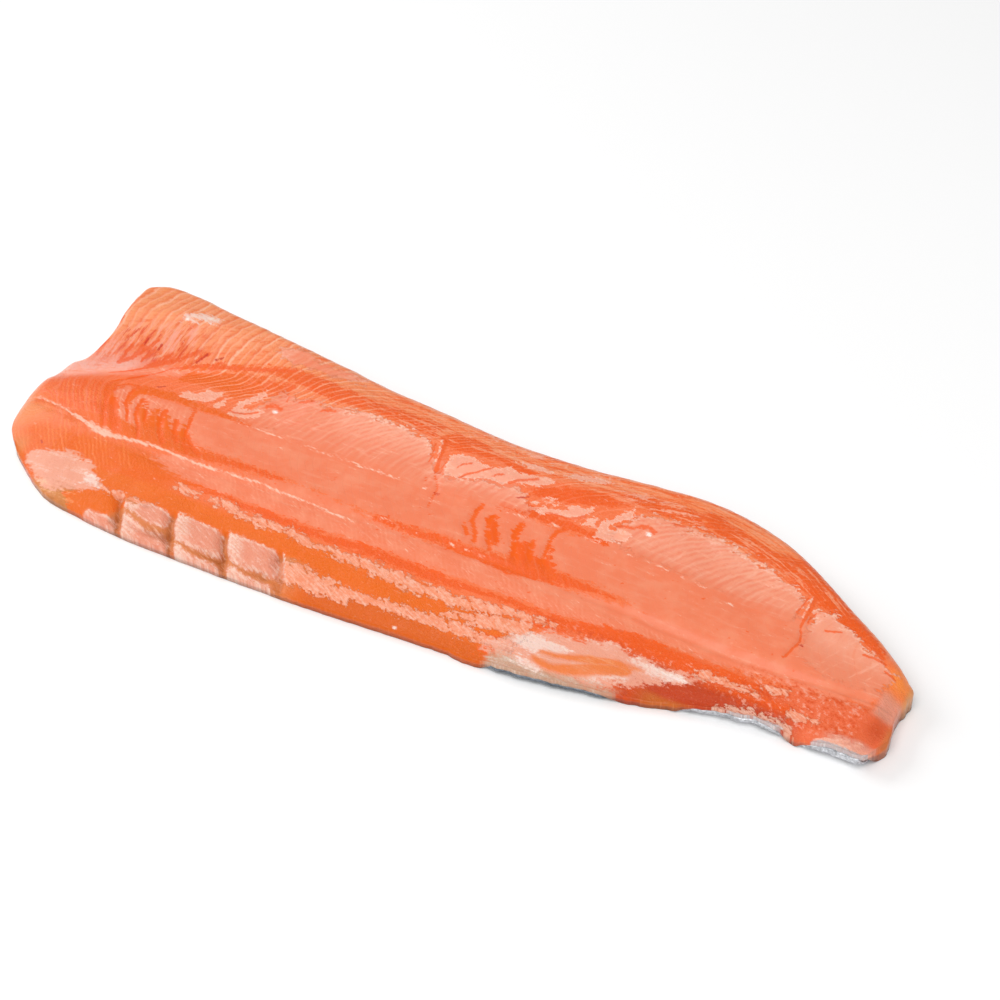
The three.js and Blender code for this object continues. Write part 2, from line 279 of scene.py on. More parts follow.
def row_line(x, y):
    """Where the two rows of pads meet: it sweeps towards the belly from each rib to the next."""
    share = rib_place(x, y) % 1
    sweep = smooth_step(0, 0.45, share) * (1 - smooth_step(0.9, 1, share))
    return ROWS["y"] - ROWS["sweep"] * sweep


def rib_prints(x, y):
    """Grooves of the ribs across the flap, 0 to 1, and the one along it between two rows of
    pads. A groove falls gently from the pad before it and rises sharply to the next."""
    row = smooth_step(RIBS["top"] + 0.7, RIBS["top"] - 1.5, y)
    place = rib_place(x, y)
    away = RIBS["pitch"] * (place - np.clip(np.round(place), 0, RIBS["count"] - 1))
    across = bell(away, 0, np.where(away < 0, 2.4, 1.1)) * row
    along = window(x, (44, 49), (98, 106))
    return across, bell(y, row_line(x, y), 0.9) * along


def flesh_face(s, t):
    """Height of the cut face before its edges are rounded, mm: a smooth profile through five
    lines of the fillet, plus the shoulder and its valley, the crease of the lateral line, the
    rib prints, the gaping slits, the cuts, the flakes of the segments and some unevenness."""
    x, y = plan(s, t)
    edge = skin_top(s, 0 * t) + CUT_BAND + BELLY_LIFT
    loin = curve(LOIN_HEIGHT, s)
    middle = [curve(keys, s) for keys in (FLAP_HEIGHT, LATERAL_HEIGHT, SLAB_HEIGHT)]
    broad = blend_keys(np.array(LINE_T, float), np.stack([edge, *middle, loin, loin], -1), t)
    shoulder = curve(SHOULDER_HEIGHT, s)
    beside = y - curve(VALLEY_LINE, x)
    hump = shoulder * smooth_step(-3, SHOULDER_RUN, beside)
    valley = VALLEY_DEPTH * shoulder / SHOULDER_HEIGHT[0][1] * bell(beside, 0, VALLEY_WIDTH)
    from_line = y - curve(LATERAL_LINE, x)
    crease = CREASE * bell(from_line, 0.6, 2.2) - RIDGE * bell(from_line, 0, 0.7)
    across, along = rib_prints(x, y)
    pads = PAD_SWELL * window(x, (43, 49), (104, 120)) * bell(y, -25.5, 5)
    phase = segments(x, y) % 1
    flakes = FLAKE * phase * (1 - smooth_step(0.8, 1, phase)) * smooth_step(10, 30, y)
    marks = LIP * strokes(x, y, LIPS) - SLIT * strokes(x, y, GAPES) - CUT * strokes(x, y, CUTS)
    grooves = RIB_GROOVE * across + ROW_GROOVE * along
    return broad + hump - valley - crease + pads - grooves + marks + flakes + waves(x, y, UNEVEN_FACE)


def rounded(inset, radius):
    """A quarter round: 0 at the edge, 1 from the radius inwards, along a circle between."""
    return np.sqrt(1 - np.clip(1 - inset / radius, 0, 1) ** 2)


def flesh_top(s, t):
    """Height of the cut face with its edges rounded down to the cut band at the rim."""
    inside = insets(s, t)
    full = np.prod([rounded(inside[edge], ROUNDING[edge]) for edge in ROUNDING], axis=0)
    return (skin_top(s, t) + CUT_BAND) * (1 - full) + flesh_face(s, t) * full


def crowd(count, amount):
    """Even steps from 0 to 1, crowded towards both ends."""
    u = np.linspace(0, 1, count)
    return u - amount * np.sin(2 * np.pi * u) / (2 * np.pi)


def grid_faces(numbers, turned=False):
    """Four-sided faces over a grid of point numbers, facing up, or down if turned."""
    corners = [numbers[:-1, :-1], numbers[1:, :-1], numbers[1:, 1:], numbers[:-1, 1:]]
    return np.stack(corners[::-1] if turned else corners, -1).reshape(-1, 4)


def rim(numbers):
    """The grid's outer points, once round anticlockwise seen from above."""
    return np.concatenate([numbers[:-1, 0], numbers[-1, :-1], numbers[:0:-1, -1], numbers[0, :0:-1]])


def side_faces(upper, lower):
    """Faces between two rims, facing outwards."""
    return np.stack([upper, lower, np.roll(lower, -1), np.roll(upper, -1)], -1)


def sheet_points(height, s, t):
    """Points of a surface over the plan, mm."""
    x, y = plan(s, t)
    return np.stack([x, y, height], -1).reshape(-1, 3)


def add_piece(name, points, faces, material):
    """A smooth mesh object from points in metres and faces as lists of point numbers."""
    mesh = bpy.data.meshes.new(name)
    mesh.from_pydata(points.tolist(), [], faces)
    mesh.shade_smooth()
    mesh.materials.append(material)
    piece = bpy.data.objects.new(name, mesh)
    bpy.context.scene.collection.objects.link(piece)
    return piece


def covered(s, t):
    """1 along the rim where the flesh hangs over the skin's edge down to the board, 0 where the
    skin shows: by the vent, and along the tail but for one fold."""
    x = s * LENGTH
    vent = window(x, (168, 173), (203, 209))
    tail = smooth_step(220, 228, x) * (1 - bell(x, 255, 2.5))
    belly = (1 - np.maximum(vent, tail)) * (1 - smooth_step(0, 0.02, t))
    end = window(t, (0.0, 0.2), (0.9, 0.98))
    return np.maximum(belly, smooth_step(0.997, 1, s) * end)


FLESH_CELLS = (560, 150)
UNDER_STEPS = (0, 0.12, 0.3, 0.55, 1)  # rings under the flesh, as shares of the upturned strip
OVER_BOARD = 0.12  # height of the flesh's edge where it hangs over the skin's, mm

cells_s, cells_t = FLESH_CELLS
top_s, top_t = np.meshgrid(crowd(cells_s + 1, 0.25), crowd(cells_t + 1, 0.4), indexing="ij")
top_numbers = np.arange(top_s.size).reshape(top_s.shape)
points = [sheet_points(flesh_top(top_s, top_t), top_s, top_t)]
faces = [grid_faces(top_numbers)]
rim_numbers = rim(top_numbers)
rim_s, rim_t = top_s.ravel()[rim_numbers], top_t.ravel()[rim_numbers]
width = curve(BACK_EDGE, rim_s) - curve(BELLY_EDGE, rim_s)
upper, count = rim_numbers, top_s.size
for step in UNDER_STEPS:
    belly, back = step * TURN_UP["belly"] / width, step * TURN_UP["back"] / width
    end = step * TURN_UP["head"] / LENGTH
    ring_s = end + rim_s * (1 - 2 * end)
    ring_t = belly + rim_t * (1 - belly - back)
    height = skin_top(ring_s, ring_t)
    if step == 0:
        height = height + (OVER_BOARD - height) * covered(ring_s, ring_t)
    points.append(sheet_points(height, ring_s, ring_t))
    lower = count + np.arange(len(rim_numbers))
    faces.append(side_faces(upper, lower))
    upper, count = lower, count + len(rim_numbers)
spine_s = np.linspace(0.03, 0.97, cells_s + 1)
spine_t = 0 * spine_s + LINE_T[2]
points.append(sheet_points(skin_top(spine_s, spine_t), spine_s, spine_t))
spine = count + np.arange(cells_s + 1)
ends = [np.full(cells_t, spine[-1]), np.full(cells_t, spine[0])]
closing = side_faces(upper, np.concatenate([spine[:-1], ends[0], spine[:0:-1], ends[1]]))
triangle = closing[:, 1] == closing[:, 2]
faces.append(closing[~triangle])
plan_points = np.concatenate(points)
face_lists = np.concatenate(faces).tolist() + closing[triangle][:, [0, 1, 3]].tolist()

low, high = (np.array(corner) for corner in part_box("flesh"))
own_low, own_high = plan_points.min(0), plan_points.max(0)
SHIFT = np.array([*((low + high) / 2 / MM - (own_low + own_high) / 2)[:2], 0])
flesh_points = (plan_points + SHIFT) * MM


def band(x, y, edges):
    """How far a place lies inside a patch of the face, mm, negative outside. The patch's edges
    are (x, low y, high y) triples, joined by smooth curves."""
    low_edge = curve([(e[0], e[1]) for e in edges], x)
    high_edge = curve([(e[0], e[2]) for e in edges], x)
    return np.minimum.reduce([y - low_edge, high_edge - y, x - edges[0][0], edges[-1][0] - x])


def blot(x, y, corners):
    """How far a place lies inside a closed outline, mm, negative outside: the least distance to
    its sides, inside where a line towards the belly crosses an odd number of them."""
    away, inside = np.full_like(x, 1e9), np.zeros(x.shape, bool)
    for (x0, y0), (x1, y1) in zip(corners, corners[1:] + corners[:1]):
        run = (x1 - x0) ** 2 + (y1 - y0) ** 2
        along = np.clip(((x - x0) * (x1 - x0) + (y - y0) * (y1 - y0)) / run, 0, 1)
        away = np.minimum(away, np.hypot(x - x0 - along * (x1 - x0), y - y0 - along * (y1 - y0)))
        slope = (y1 - y0) / (x1 - x0 if x1 != x0 else 1e-9)
        inside ^= ((x0 > x) != (x1 > x)) & (y > y0 + (x - x0) * slope)
    return np.where(inside, away, -away)


def deepest(depth, x, y, shapes):
    """The deepest that a place lies in any of several shapes, each measured by the same depth."""
    return np.maximum.reduce([depth(x, y, shape) for shape in shapes])


# Patches of the cut face, as (x, low y, high y) in mm from the head cut and the lateral line.
PINK = [  # wet film over the slab, its sheen painted into the colour
    [(20, 8, 10), (23, 6, 15), (28, 2.6, 15), (34, 1, 14.6), (40, 3, 14.4), (48, 3, 14.5), (56, 2, 15),
     (64, 2, 16), (80, 1.6, 20), (120, -0.5, 22), (130, 0, 24), (140, 0.4, 24.5), (150, 0.8, 23.6),
     (155, 1.4, 19), (160, 2, 15.5), (170, 2.4, 15), (185, 3, 18), (205, 0, 20), (240, -2, 18),
     (258, -2, 13), (266, -1, 9)],
    [(46, -6.5, -4.5), (60, -9.6, -2.8), (75, -10, -2.4), (90, -10.8, 0.5), (130, -10, -2.5),
     (160, -9.6, -2.5), (175, -9, -1), (190, -8.4, 0), (205, -5.6, 3), (225, -4.6, 5), (242, -3, 5),
     (258, -3, 2)],
    [(0, 13.5, 17), (6, 15, 19), (14, 17.5, 22), (24, 21, 26), (36, 26, 29.5), (46, 29, 31)],
]
PALE = [  # where the film's painted sheen is palest
    [(60, 15.2, 17.5), (64, 15.2, 21), (68, 15, 27.4), (72, 15.4, 28.6), (80, 15, 28.8), (92, 14.6, 29.2),
     (104, 14, 29.6), (112, 14, 29), (118, 14.2, 28), (121.4, 14.4, 26.5), (124, 14.6, 22.5),
     (128, 14.8, 19.4), (134, 14.8, 20), (142, 15, 21.6), (150, 15.4, 22), (157, 16.4, 18.6)],
    [(182, 18, 21), (187, 16.5, 27), (193, 16.2, 29.4), (200, 16.4, 29.6), (208, 16.2, 30.6),
     (218, 15.5, 29.6), (226, 15, 28.4), (232, 15, 26.2), (237, 15.5, 23)],
    [(241.5, 8, 21.4), (246, 4, 21.8), (251, 3, 19.6), (257, 2, 16.6), (263, 3, 13), (267, 5, 10)],
    [(60, 41, 43), (68, 40, 44.5), (76, 39.6, 43.5), (84, 40, 42.6), (90, 41, 42)],
]
FLAMES = [  # small pools of the film's painted sheen, as outlines
    [(39.2, 18.8), (40.9, 20.1), (44.1, 20.5), (46.5, 23.1), (49.4, 22.9), (51.6, 24.5), (51.1, 22.2),
     (50.6, 20.4), (48.8, 18.6), (44.7, 18.3), (40.2, 17.3)],
    [(51.5, 17.8), (52.4, 20.3), (53.5, 22.2), (54.5, 19.7), (53.1, 17.8)],
    [(57.5, 16.7), (57.6, 21.5), (60, 23.7), (63.1, 27.5), (64.4, 28.5), (64.7, 25.6), (63.2, 24),
     (60.8, 22.3), (59.7, 20.1), (64.7, 21.4), (67.1, 21.6), (66.2, 19.2), (63.8, 17.6), (61.1, 16.6)],
    [(127.6, 25.6), (130.4, 26.9), (133.7, 27.3), (136.1, 26.4), (141, 26), (143.7, 26.6), (146, 28),
     (148.9, 26.9), (153.7, 27.9), (159.7, 28.7), (158.9, 26.5), (156, 24.9), (148.9, 24), (146.1, 22.1),
     (142.1, 22.4), (138.2, 21.1), (133.8, 20), (128.8, 19.8)],
    [(146, 30.4), (151, 31.6), (156, 31.4), (158.5, 30.5), (153, 29.8)],
    [(160, 31), (164, 33.2), (170, 34.4), (175, 34.6), (172, 33), (166, 31.4)],
    [(159.2, 18), (160.1, 19.9), (165.7, 20.6), (168.8, 23.2), (171, 23.2), (174.3, 24.9), (174.4, 23.8),
     (172.6, 21.6), (170.7, 19.5), (167.1, 19.3), (163.1, 18.4)],
    [(172.4, 18.4), (174, 20.2), (175.6, 22.2), (176.1, 20.6), (174.4, 18.7)],
    [(159.4, 22), (161.1, 22.9), (162.7, 22.9), (161.3, 22)],
    [(156.1, 19.6), (158.2, 20.7), (158.2, 20), (156.6, 19.3)],
    [(162.6, 21.5), (164, 22.4), (164.5, 22.2), (163.2, 21.1)],
    [(177.5, 16.7), (177.6, 21.5), (180, 23.7), (183.1, 27.5), (184.4, 28.5), (184.7, 25.6), (180.8, 22.3),
     (179.7, 20.1), (184.7, 21.4), (187.1, 21.6), (186.2, 19.2), (181.1, 16.6)],
]
STREAKS = [  # pale fat at the root of the flap and along its middle
    [(58, -13.4, -12), (62, -14, -11.4), (66.5, -13.4, -12.2)],
    [(70, -13.6, -12), (76, -14.2, -11.6), (81, -14.4, -12.6)],
    [(80.5, -15.4, -13.4), (86, -15.2, -12.6), (93, -15.6, -13.4), (99, -16, -14.2)],
    [(97.6, -15.6, -13), (104, -16, -13.6), (112, -16.6, -14.2), (124, -17, -14), (133, -18, -13.8),
     (142, -17.6, -14), (152, -17.2, -13.8), (160, -16.4, -13), (168, -14.6, -11.8), (176, -13.4, -11.6),
     (180, -12.6, -11.8)],
    [(98, -24.6, -23.6), (101, -26.6, -22), (104, -28, -21.8), (112, -28.2, -22.4), (122, -27.6, -23),
     (131, -25.8, -23), (140, -25.4, -21.8), (152, -24.8, -21.2), (164, -24.2, -21.2), (174, -23.6, -19)],
    [(36, -21, -19.8), (46, -21.4, -19.8), (56, -21.6, -20.2)],
    [(150, -20.8, -20), (156, -20.6, -18), (165, -20, -15.4), (175, -19, -13.6)],
    [(220, -10, -8.2), (226, -10.2, -7.4), (231, -10, -7.8), (238, -9.6, -8)],
    [(238, -6.6, -5.4), (242, -6.6, -4.8), (245, -6, -5)],
    [(247, -12, -10), (251, -11.8, -9.4), (255, -11, -9.4)],
    [(229, -17.4, -15.8), (235, -17.4, -13.8), (242, -16.4, -13), (250, -15.8, -13.6)],
]
FAT = [  # fat round the vent, behind the head and at the end of the tail
    [(166, -24, -23), (171, -27.4, -18.6), (178, -26.4, -15.4), (186, -25.4, -13), (198, -24, -11.2),
     (205, -20, -11), (213, -15.8, -10.8), (221, -12.2, -10.8)],
    [(9, -19, -16), (14, -22, -14.2), (22, -25.5, -13), (28, -24.5, -13.6), (32, -22, -15.4),
     (36, -21, -19)], [(257, -17, -15.2), (263, -17, -14), (272, -18, -13.5)],
]
WHITE_FAT_AND_HIGHLIGHT = [  # the whitest fat round the vent, and a painted highlight on the shoulder
    [(28.6, 38, 39.4), (31, 38.8, 41.4), (34.6, 40.4, 43), (38, 42, 43)],
    [(172, -20.4, -19), (175, -21.6, -16.8), (180, -21.4, -16), (184, -19.8, -16.2), (187, -18.6, -17)],
    [(203, -13.6, -12.6), (208, -14.6, -11.8), (214, -13.6, -11.4), (218, -12, -11.2)],
    [(176, -25, -24.2), (180, -26, -24.4), (183, -25.8, -25)],
    [(31, -20.4, -17.8), (33.5, -20.4, -17.6), (36, -20.2, -18.8)],
    [(190, -21.6, -20.6), (197, -21.4, -19.2), (205, -19, -17)],
]
AMBER = [  # two lobes of muscle that show through the fat by the vent
    [(180, -21.2, -19.8), (186, -20.6, -18.8), (194, -18.4, -16.2), (203, -15.6, -13.8),
     (208, -14.4, -13.6)],
    [(179, -23.8, -22.4), (184, -25, -22.8), (190, -23.8, -20.6), (197, -21, -17.2), (205, -17.4, -14.6)],
]
SILVER = [  # the silvery lining left along the edge at the vent
    [(168, -31, -25.4), (178, -33, -25.6), (190, -33, -24.4), (198, -30, -23.4), (204, -28, -22.6)],
]
DEEP = [  # bare, strongly coloured flesh
    [(27.5, -25.6, -24.6), (33, -29, -22.4), (40, -28.6, -21.6), (45, -26, -22), (49, -23.6, -22.4)],
    [(33, -19.6, -14), (39, -19.8, -13.4), (46, -18.6, -14.6)],
    [(54, -19.6, -18.8), (58, -20, -15.6), (63, -20.2, -14.6), (67, -18.4, -15.6)],
    [(70, -18.4, -17.6), (75, -20, -16.4), (80, -20.8, -15.8), (83, -19.4, -15.9), (86, -17.6, -17)],
    [(87, -19, -18.2), (93, -20.6, -17), (98, -21.4, -16.4), (101, -20.4, -16.6), (105, -18.4, -17.8)],
    [(106, -20.8, -18), (112, -21.4, -17.2), (122, -22.4, -17.8), (134, -22.6, -18.4), (145, -21, -18),
     (153, -19.8, -17.6), (160, -18, -16.2)],
    [(40, -15, -13.8), (46, -15, -11.2), (53, -12.6, -10.8), (58, -11.2, -10.4), (75, -11.6, -10),
     (90, -13, -10.4), (105, -13.4, -11), (125, -13, -10), (140, -13, -10), (152, -12.4, -10.6),
     (165, -11.4, -9.8), (180, -12, -9.6), (190, -11, -7.8), (200, -10.2, -5.8), (210, -10.4, -5.4),
     (218, -10, -5.6), (228, -8.4, -5.4), (237, -8, -5.8)],
    [(12, -2.6, 1), (24, -3, 1.6), (36, -3, 1), (50, -2.4, 1), (62, -1.8, 1.2), (72, -1, 1.2),
     (87, -0.2, 0.8)],
    [(148, -1.6, 0.1), (158, -2.2, 0.8), (168, -2, 2), (176, -0.8, 2.4), (184, 0.5, 1.9), (190, 1, 1.6),
     (194, 1.2, 1.4)],
    [(118, -1.8, -0.4), (130, -2.2, 0), (150, -2.2, -0.4), (160, -3.2, -1.6), (165, -3, -2)],
    [(206, -25, -14), (212, -24, -14.6), (221, -22, -12), (230, -18, -10.4), (240, -12.8, -9.6),
     (249, -13.6, -9.8), (252, -14, -12)], [(158, -17.6, -15.8), (161, -17.8, -14.8), (165, -16.6, -15)],
    [(161, -18.6, -17.2), (166, -17.4, -15.8), (170, -15.4, -14.6)],
    [(147, -22.8, -22), (154, -23, -21.6), (160, -22.2, -21.4)],
    [(161, -22.6, -21.6), (165, -23, -20.8), (169, -22, -20.6)],
    [(172, -15, -14), (178, -14.4, -12.8), (184, -13.2, -12)],
    [(164, -27, -25), (169, -26.4, -24.2), (172, -25, -24)],
    [(33, 27.5, 29.4), (42, 30, 31.6), (52, 32.6, 34.6), (60, 34, 36.6), (72, 33, 38), (84, 30.6, 36.6),
     (100, 31, 35), (121, 29, 35)],
    [(124, 27.6, 33), (132, 28, 34), (140, 28, 31), (148, 26.8, 29.8), (154, 26.4, 29)],
    [(148, 15.4, 18.6), (158, 15.6, 19.6), (170, 16, 18.4), (182, 15.4, 17.4)],
    [(36, 23, 28), (46, 24.5, 30.5), (56, 23, 32), (64, 27, 32), (72, 29.4, 33)],
    [(155, 22, 24), (162, 22.4, 27), (175, 25.4, 30), (184, 29, 34), (192, 30, 35), (203, 31, 36)],
    [(203, 31.4, 38), (215, 31, 36), (226, 29.4, 34), (233, 26.6, 36), (240, 24, 34), (248, 20, 27),
     (256, 16.6, 21.6), (263, 15, 17)],
    [(26, 15, 17), (34, 14.8, 18), (44, 15, 17.6), (56, 14.6, 16.8), (66, 15.2, 16.2)],
]
BARE = [  # bare flesh between the slits, as outlines
    [(158.8, 0.1), (155.3, 11.5), (157.6, 13.5), (159.9, 7.5), (161.8, 9.4), (165.4, 4.9), (168, 5.4),
     (166.5, 10.6), (167, 13.7), (171.2, 5.6), (175.2, 0.9), (169.5, 0.2), (164.3, -0.9)],
    [(146, 11.6), (148.3, 13.6), (150.7, 11.5), (155.3, 5.3), (154.1, 2.8), (151.2, 3.6)],
    [(17, 12.4), (17.2, 15.4), (19, 18.3), (20, 11.5), (23.4, 8.9), (27.6, 4.2), (29.1, -0.3), (25.8, -1.2),
     (23, 1.8), (20.3, 6.7)],
    [(25.4, 9.9), (24.8, 14.1), (27.4, 16.4), (33.4, 15.6), (31, 14.6), (28.1, 12.2), (29, 8.1),
     (29.8, 5.4), (27.8, 6.5)],
    [(31.6, 6.1), (30.6, 11.4), (34, 8.6), (39.3, 2.7), (40.2, -2.1), (37.7, -1.2)],
    [(38.8, 0.1), (35.3, 9), (37.6, 11.5), (39.9, 7.5), (41.8, 9.4), (45.4, 4.9), (48, 5.4), (47, 10.7),
     (51.2, 5.6), (55.2, 0.9), (49.5, 0.2)],
]


def hex_to_linear(code):
    """Linear colour of an sRGB hex code such as #f27744."""
    srgb = np.array([int(code[i : i + 2], 16) for i in (1, 3, 5)]) / 255
    return np.where(srgb <= 0.04045, srgb / 12.92, ((srgb + 0.055) / 1.055) ** 2.4)


def laid_over(tone, layers):
    """A colour for each point, with each layer (hex colour, share) mixed over those before it."""
    for code, share in layers:
        tone = tone + (hex_to_linear(code) - tone) * share[..., None]
    return tone


def spot(x, y, centre, radii):
    """A round bell of height 1, with its own radius along x and y."""
    return bell(np.hypot((x - centre[0]) / radii[0], (y - centre[1]) / radii[1]), 0, 1)


def flesh_tone(x, y):
    """Broad colour of the raw flesh: smooth changes from the amber shoulder over the orange slab
    to the redder flap and the pale tail, each layer over those before it."""
    beside = y - curve(VALLEY_LINE, x)
    from_back = curve(BACK_EDGE, x / LENGTH) - y
    loin = [
        ("#f5905c", smooth_step(26, 36, y)),
        # Lighter along the back edge: painted light where the edge rounds away into shade.
        ("#fd9666", smooth_step(9, 3, from_back) * smooth_step(60, 120, x)),
        ("#ff8c54", 0.8 * smooth_step(29, 37, y) * smooth_step(80, 110, x)),
        ("#f69a6a", smooth_step(2, 9, beside) * smooth_step(95, 50, x)),
        ("#f4945c", smooth_step(34, 44, y) * smooth_step(30, 16, x)),
    ]
    head = [
        ("#f0905a", spot(x, y, (-3, -0.5), (7, 8.75))),
        ("#ee5c08", window(y, (-1, 3), (12, 16)) * window(x, (-6, -1), (24, 34))),
        ("#eb6300", smooth_step(-4, -8, y) * window(x, (-2, 6), (50, 66))),
    ]
    flap = [
        ("#ed6b10", smooth_step(-13, -16, y) * window(x, (25, 35), (165, 185))),
        ("#dd6004", smooth_step(-24, -26, y) * window(x, (104, 116), (166, 174))),
        ("#dd8048", smooth_step(-20.5, -22, y) * window(x, (43, 48), (102, 112))),
        ("#d9581e", smooth_step(-30.4, -31.4, y) * window(x, (44, 48), (66, 72))),
        ("#d27f3e", smooth_step(-21.5, -25.5, y) * window(x, (10, 16), (31, 35))),
        ("#e27c3a", smooth_step(-9, -14, y) * smooth_step(8, 3, x)),
    ]
    tail = [
        ("#e65c22", smooth_step(-4, -7, y) * window(x, (178, 200), (256, 262))),
        ("#b83c0c", smooth_step(-10, -13, y) * window(x, (200, 212), (246, 254))),
        ("#cc6d26", smooth_step(-17.6, -19.6, y) * window(x, (206, 214), (228, 234))),
        ("#eb6a3c", smooth_step(0, -4, y) * smooth_step(238, 250, x)),
        ("#e2937c", smooth_step(256, 262, x) * smooth_step(-11, -13, y)),
        ("#e9967c", smooth_step(265.5, 268, x) * window(y, (-4.6, -2), (4, 7))),
        ("#d5501c", spot(x, y, (269.4, -7.2), (3.6, 3))),
        ("#d2703a", smooth_step(271, 273, x) * smooth_step(-2, -6, y)),
        ("#ff8e3c", spot(x, y, (270, 10), (5, 4))),
        ("#e0985e", smooth_step(271.4, 273, x) * smooth_step(3, 6, y)),
    ]
    vent_edge = ("#c48c6e", smooth_step(-24.4, -26.4, y) * window(x, (168, 176), (198, 208)))
    base = np.broadcast_to(hex_to_linear("#f3733e"), x.shape + (3,))
    return laid_over(base, [*loin, *head, *flap, *tail, vent_edge])


def line_strength(x, y):
    """How clearly the sinew lines show, 0 to 1: most over the loin, and faintly on the film."""
    low = 6 * bell(x, 55, 20)
    loin = smooth_step(25 - low, 31 - low, y) * (1 - 0.4 * smooth_step(70, 110, x))
    slab = 0.16 * smooth_step(-8, 0, y)
    return np.maximum(loin, slab) * (1 - 0.55 * smooth_step(165, 200, x))


def fine_strength(x, y):
    """How clearly the finer lines between them show: behind the head cut, on the shoulder and
    below the lateral line."""
    head = smooth_step(60, 26, x) * window(y, (-21, -14), (10, 16))
    shoulder = 0.9 * smooth_step(18, 26, y) * smooth_step(110, 70, x)
    belly_side = 0.3 * window(y, (-12, -8), (-3.4, -2.4)) * smooth_step(240, 225, x)
    return np.maximum.reduce([head, shoulder, belly_side])


CORNER = 0.8  # how round the pads' corners are, mm


def soft_least(depths):
    """The least of several depths, with the corners rounded: minus the log of a sum of powers."""
    powers = [np.exp(-np.clip(depth, -20, 20) / CORNER) for depth in depths]
    return -CORNER * np.log(np.sum(powers, axis=0))


def pad_depth(x, y):
    """How far a place lies inside one of the pads between the rib prints, mm, negative outside.
    An upper pad reaches from under the ribs' top down to its foot, which sags towards the next
    rib, and the lower one from its own top to the belly edge."""
    place = rib_place(x, y)
    share = place % 1
    from_rib = RIBS["pitch"] * np.minimum(share - 0.06, 0.96 - share)
    small = (place < 1) * (1 - smooth_step(0.15, 0.6, share))
    head_top = RIBS["top"] - 0.5 * share - 2.4 * small
    first_foot = -24.3 - 2.0 * smooth_step(0.15, 0.55, share) + 1.7 * smooth_step(0.8, 1, share)
    next_foot = -27.5 - 0.9 * smooth_step(0.05, 0.45, share) + 0.9 * smooth_step(0.8, 1, share)
    foot = np.where(place < 1, first_foot, next_foot)
    upper = soft_least([head_top - y, y - foot - 0.3, from_rib + 0.3])
    upper = np.where((place > 0.1) & (place < 3.1), upper, -9)
    first_top = -25.4 - 1.8 * smooth_step(0.12, 0.5, share)
    next_top = -28.7 - 0.8 * smooth_step(0.05, 0.45, share)
    top = np.where(place < 1, first_top, next_top)
    from_edge = y - curve(BELLY_EDGE, x / LENGTH)
    lower = soft_least([top - y - 0.3, from_edge + 0.8, from_rib + 0.4, x - 37, 103 - x])
    return np.maximum(upper, lower)


def set_value(mesh, name, values):
    """Stores one number for each point of the mesh."""
    numbers = np.ascontiguousarray(values, np.float32)
    mesh.attributes.new(name, "FLOAT", "POINT").data.foreach_set("value", numbers)


def set_tone(mesh, name, colours):
    """Stores one colour for each point of the mesh."""
    rgba = np.concatenate([colours, np.ones((len(colours), 1))], 1).astype(np.float32)
    mesh.color_attributes.new(name, "FLOAT_COLOR", "POINT").data.foreach_set("color", rgba.ravel())


def set_map(mesh, name, u, v):
    """Stores a UV map from two numbers for each point."""
    corner = np.empty(len(mesh.loops), np.int32)
    mesh.loops.foreach_get("vertex_index", corner)
    places = np.stack([u, v], -1)[corner].astype(np.float32)
    mesh.uv_layers.new(name=name).data.foreach_set("uv", places.ravel())


SMOOTH = {"interpolation_type": "SMOOTHSTEP"}
NODES = {  # by the job a node does: its type, its output, its inputs in order and its settings
    "uv": ("ShaderNodeUVMap", 0, (), {}),
    "place": ("ShaderNodeTexCoord", "Object", (), {}),
    "number": ("ShaderNodeAttribute", 2, (), {}),
    "colour": ("ShaderNodeVertexColor", 0, (), {}),
    "first": ("ShaderNodeSeparateXYZ", 0, (0,), {}),
    "stretch": ("ShaderNodeMapping", 0, ("Vector", "Scale", "Rotation"), {"vector_type": "TEXTURE"}),
    "noise": ("ShaderNodeTexNoise", 0, ("Vector", "Scale", "Detail", "Roughness"), {}),
    "cells": ("ShaderNodeTexVoronoi", 0, ("Vector", "Scale"), {}),
    "range": ("ShaderNodeMapRange", 0, ("Value", "From Min", "From Max", "To Min", "To Max"), {}),
    "ramp": ("ShaderNodeMapRange", 0, ("Value", "From Min", "From Max"), SMOOTH),
    "plus": ("ShaderNodeMath", 0, (2, 1, 0), {"operation": "MULTIPLY_ADD"}),
    "times": ("ShaderNodeMath", 0, (0, 1), {"operation": "MULTIPLY"}),
    "saw": ("ShaderNodeMath", 0, (0,), {"operation": "FRACT"}),
    "zigzag": ("ShaderNodeMath", 0, (0, 1), {"operation": "PINGPONG"}),
    "shade": ("ShaderNodeVectorMath", 0, (0, 1), {"operation": "MULTIPLY"}),
    "over": ("ShaderNodeMix", 2, ("Factor", 6, 7), {"data_type": "RGBA"}),
    "bump": ("ShaderNodeBump", 0, ("Height", "Distance", "Strength"), {}),
}


def node(tree, job, *inputs, **settings):
    """Adds the node that does a job, with its settings; each input is a value or another node's
    socket, which is linked. Gives back the node's output. "plus" is the first number and the
    second times the third; "ramp" rises smoothly from 0 at its low value to 1 at its high one."""
    kind, output, sockets, usual = NODES[job]
    made = tree.nodes.new(kind)
    for name, setting in {**usual, **settings}.items():
        setattr(made, name, setting)
    for name, given in zip(sockets, inputs):
        if isinstance(given, bpy.types.NodeSocket):
            tree.links.new(given, made.inputs[name])
        else:
            made.inputs[name].default_value = given
    return made.outputs[output]


def rgba(code):
    """A hex colour for a node's socket."""
    return (*hex_to_linear(code), 1)


def new_material(name, numbers):
    """An empty material, its node tree and its surface shader with the given numbers set."""
    material = bpy.data.materials.new(name)
    material.use_nodes = True
    tree = material.node_tree
    shader = tree.nodes["Principled BSDF"]
    for socket, number in numbers.items():
        shader.inputs[socket].default_value = number
    return material, tree, shader


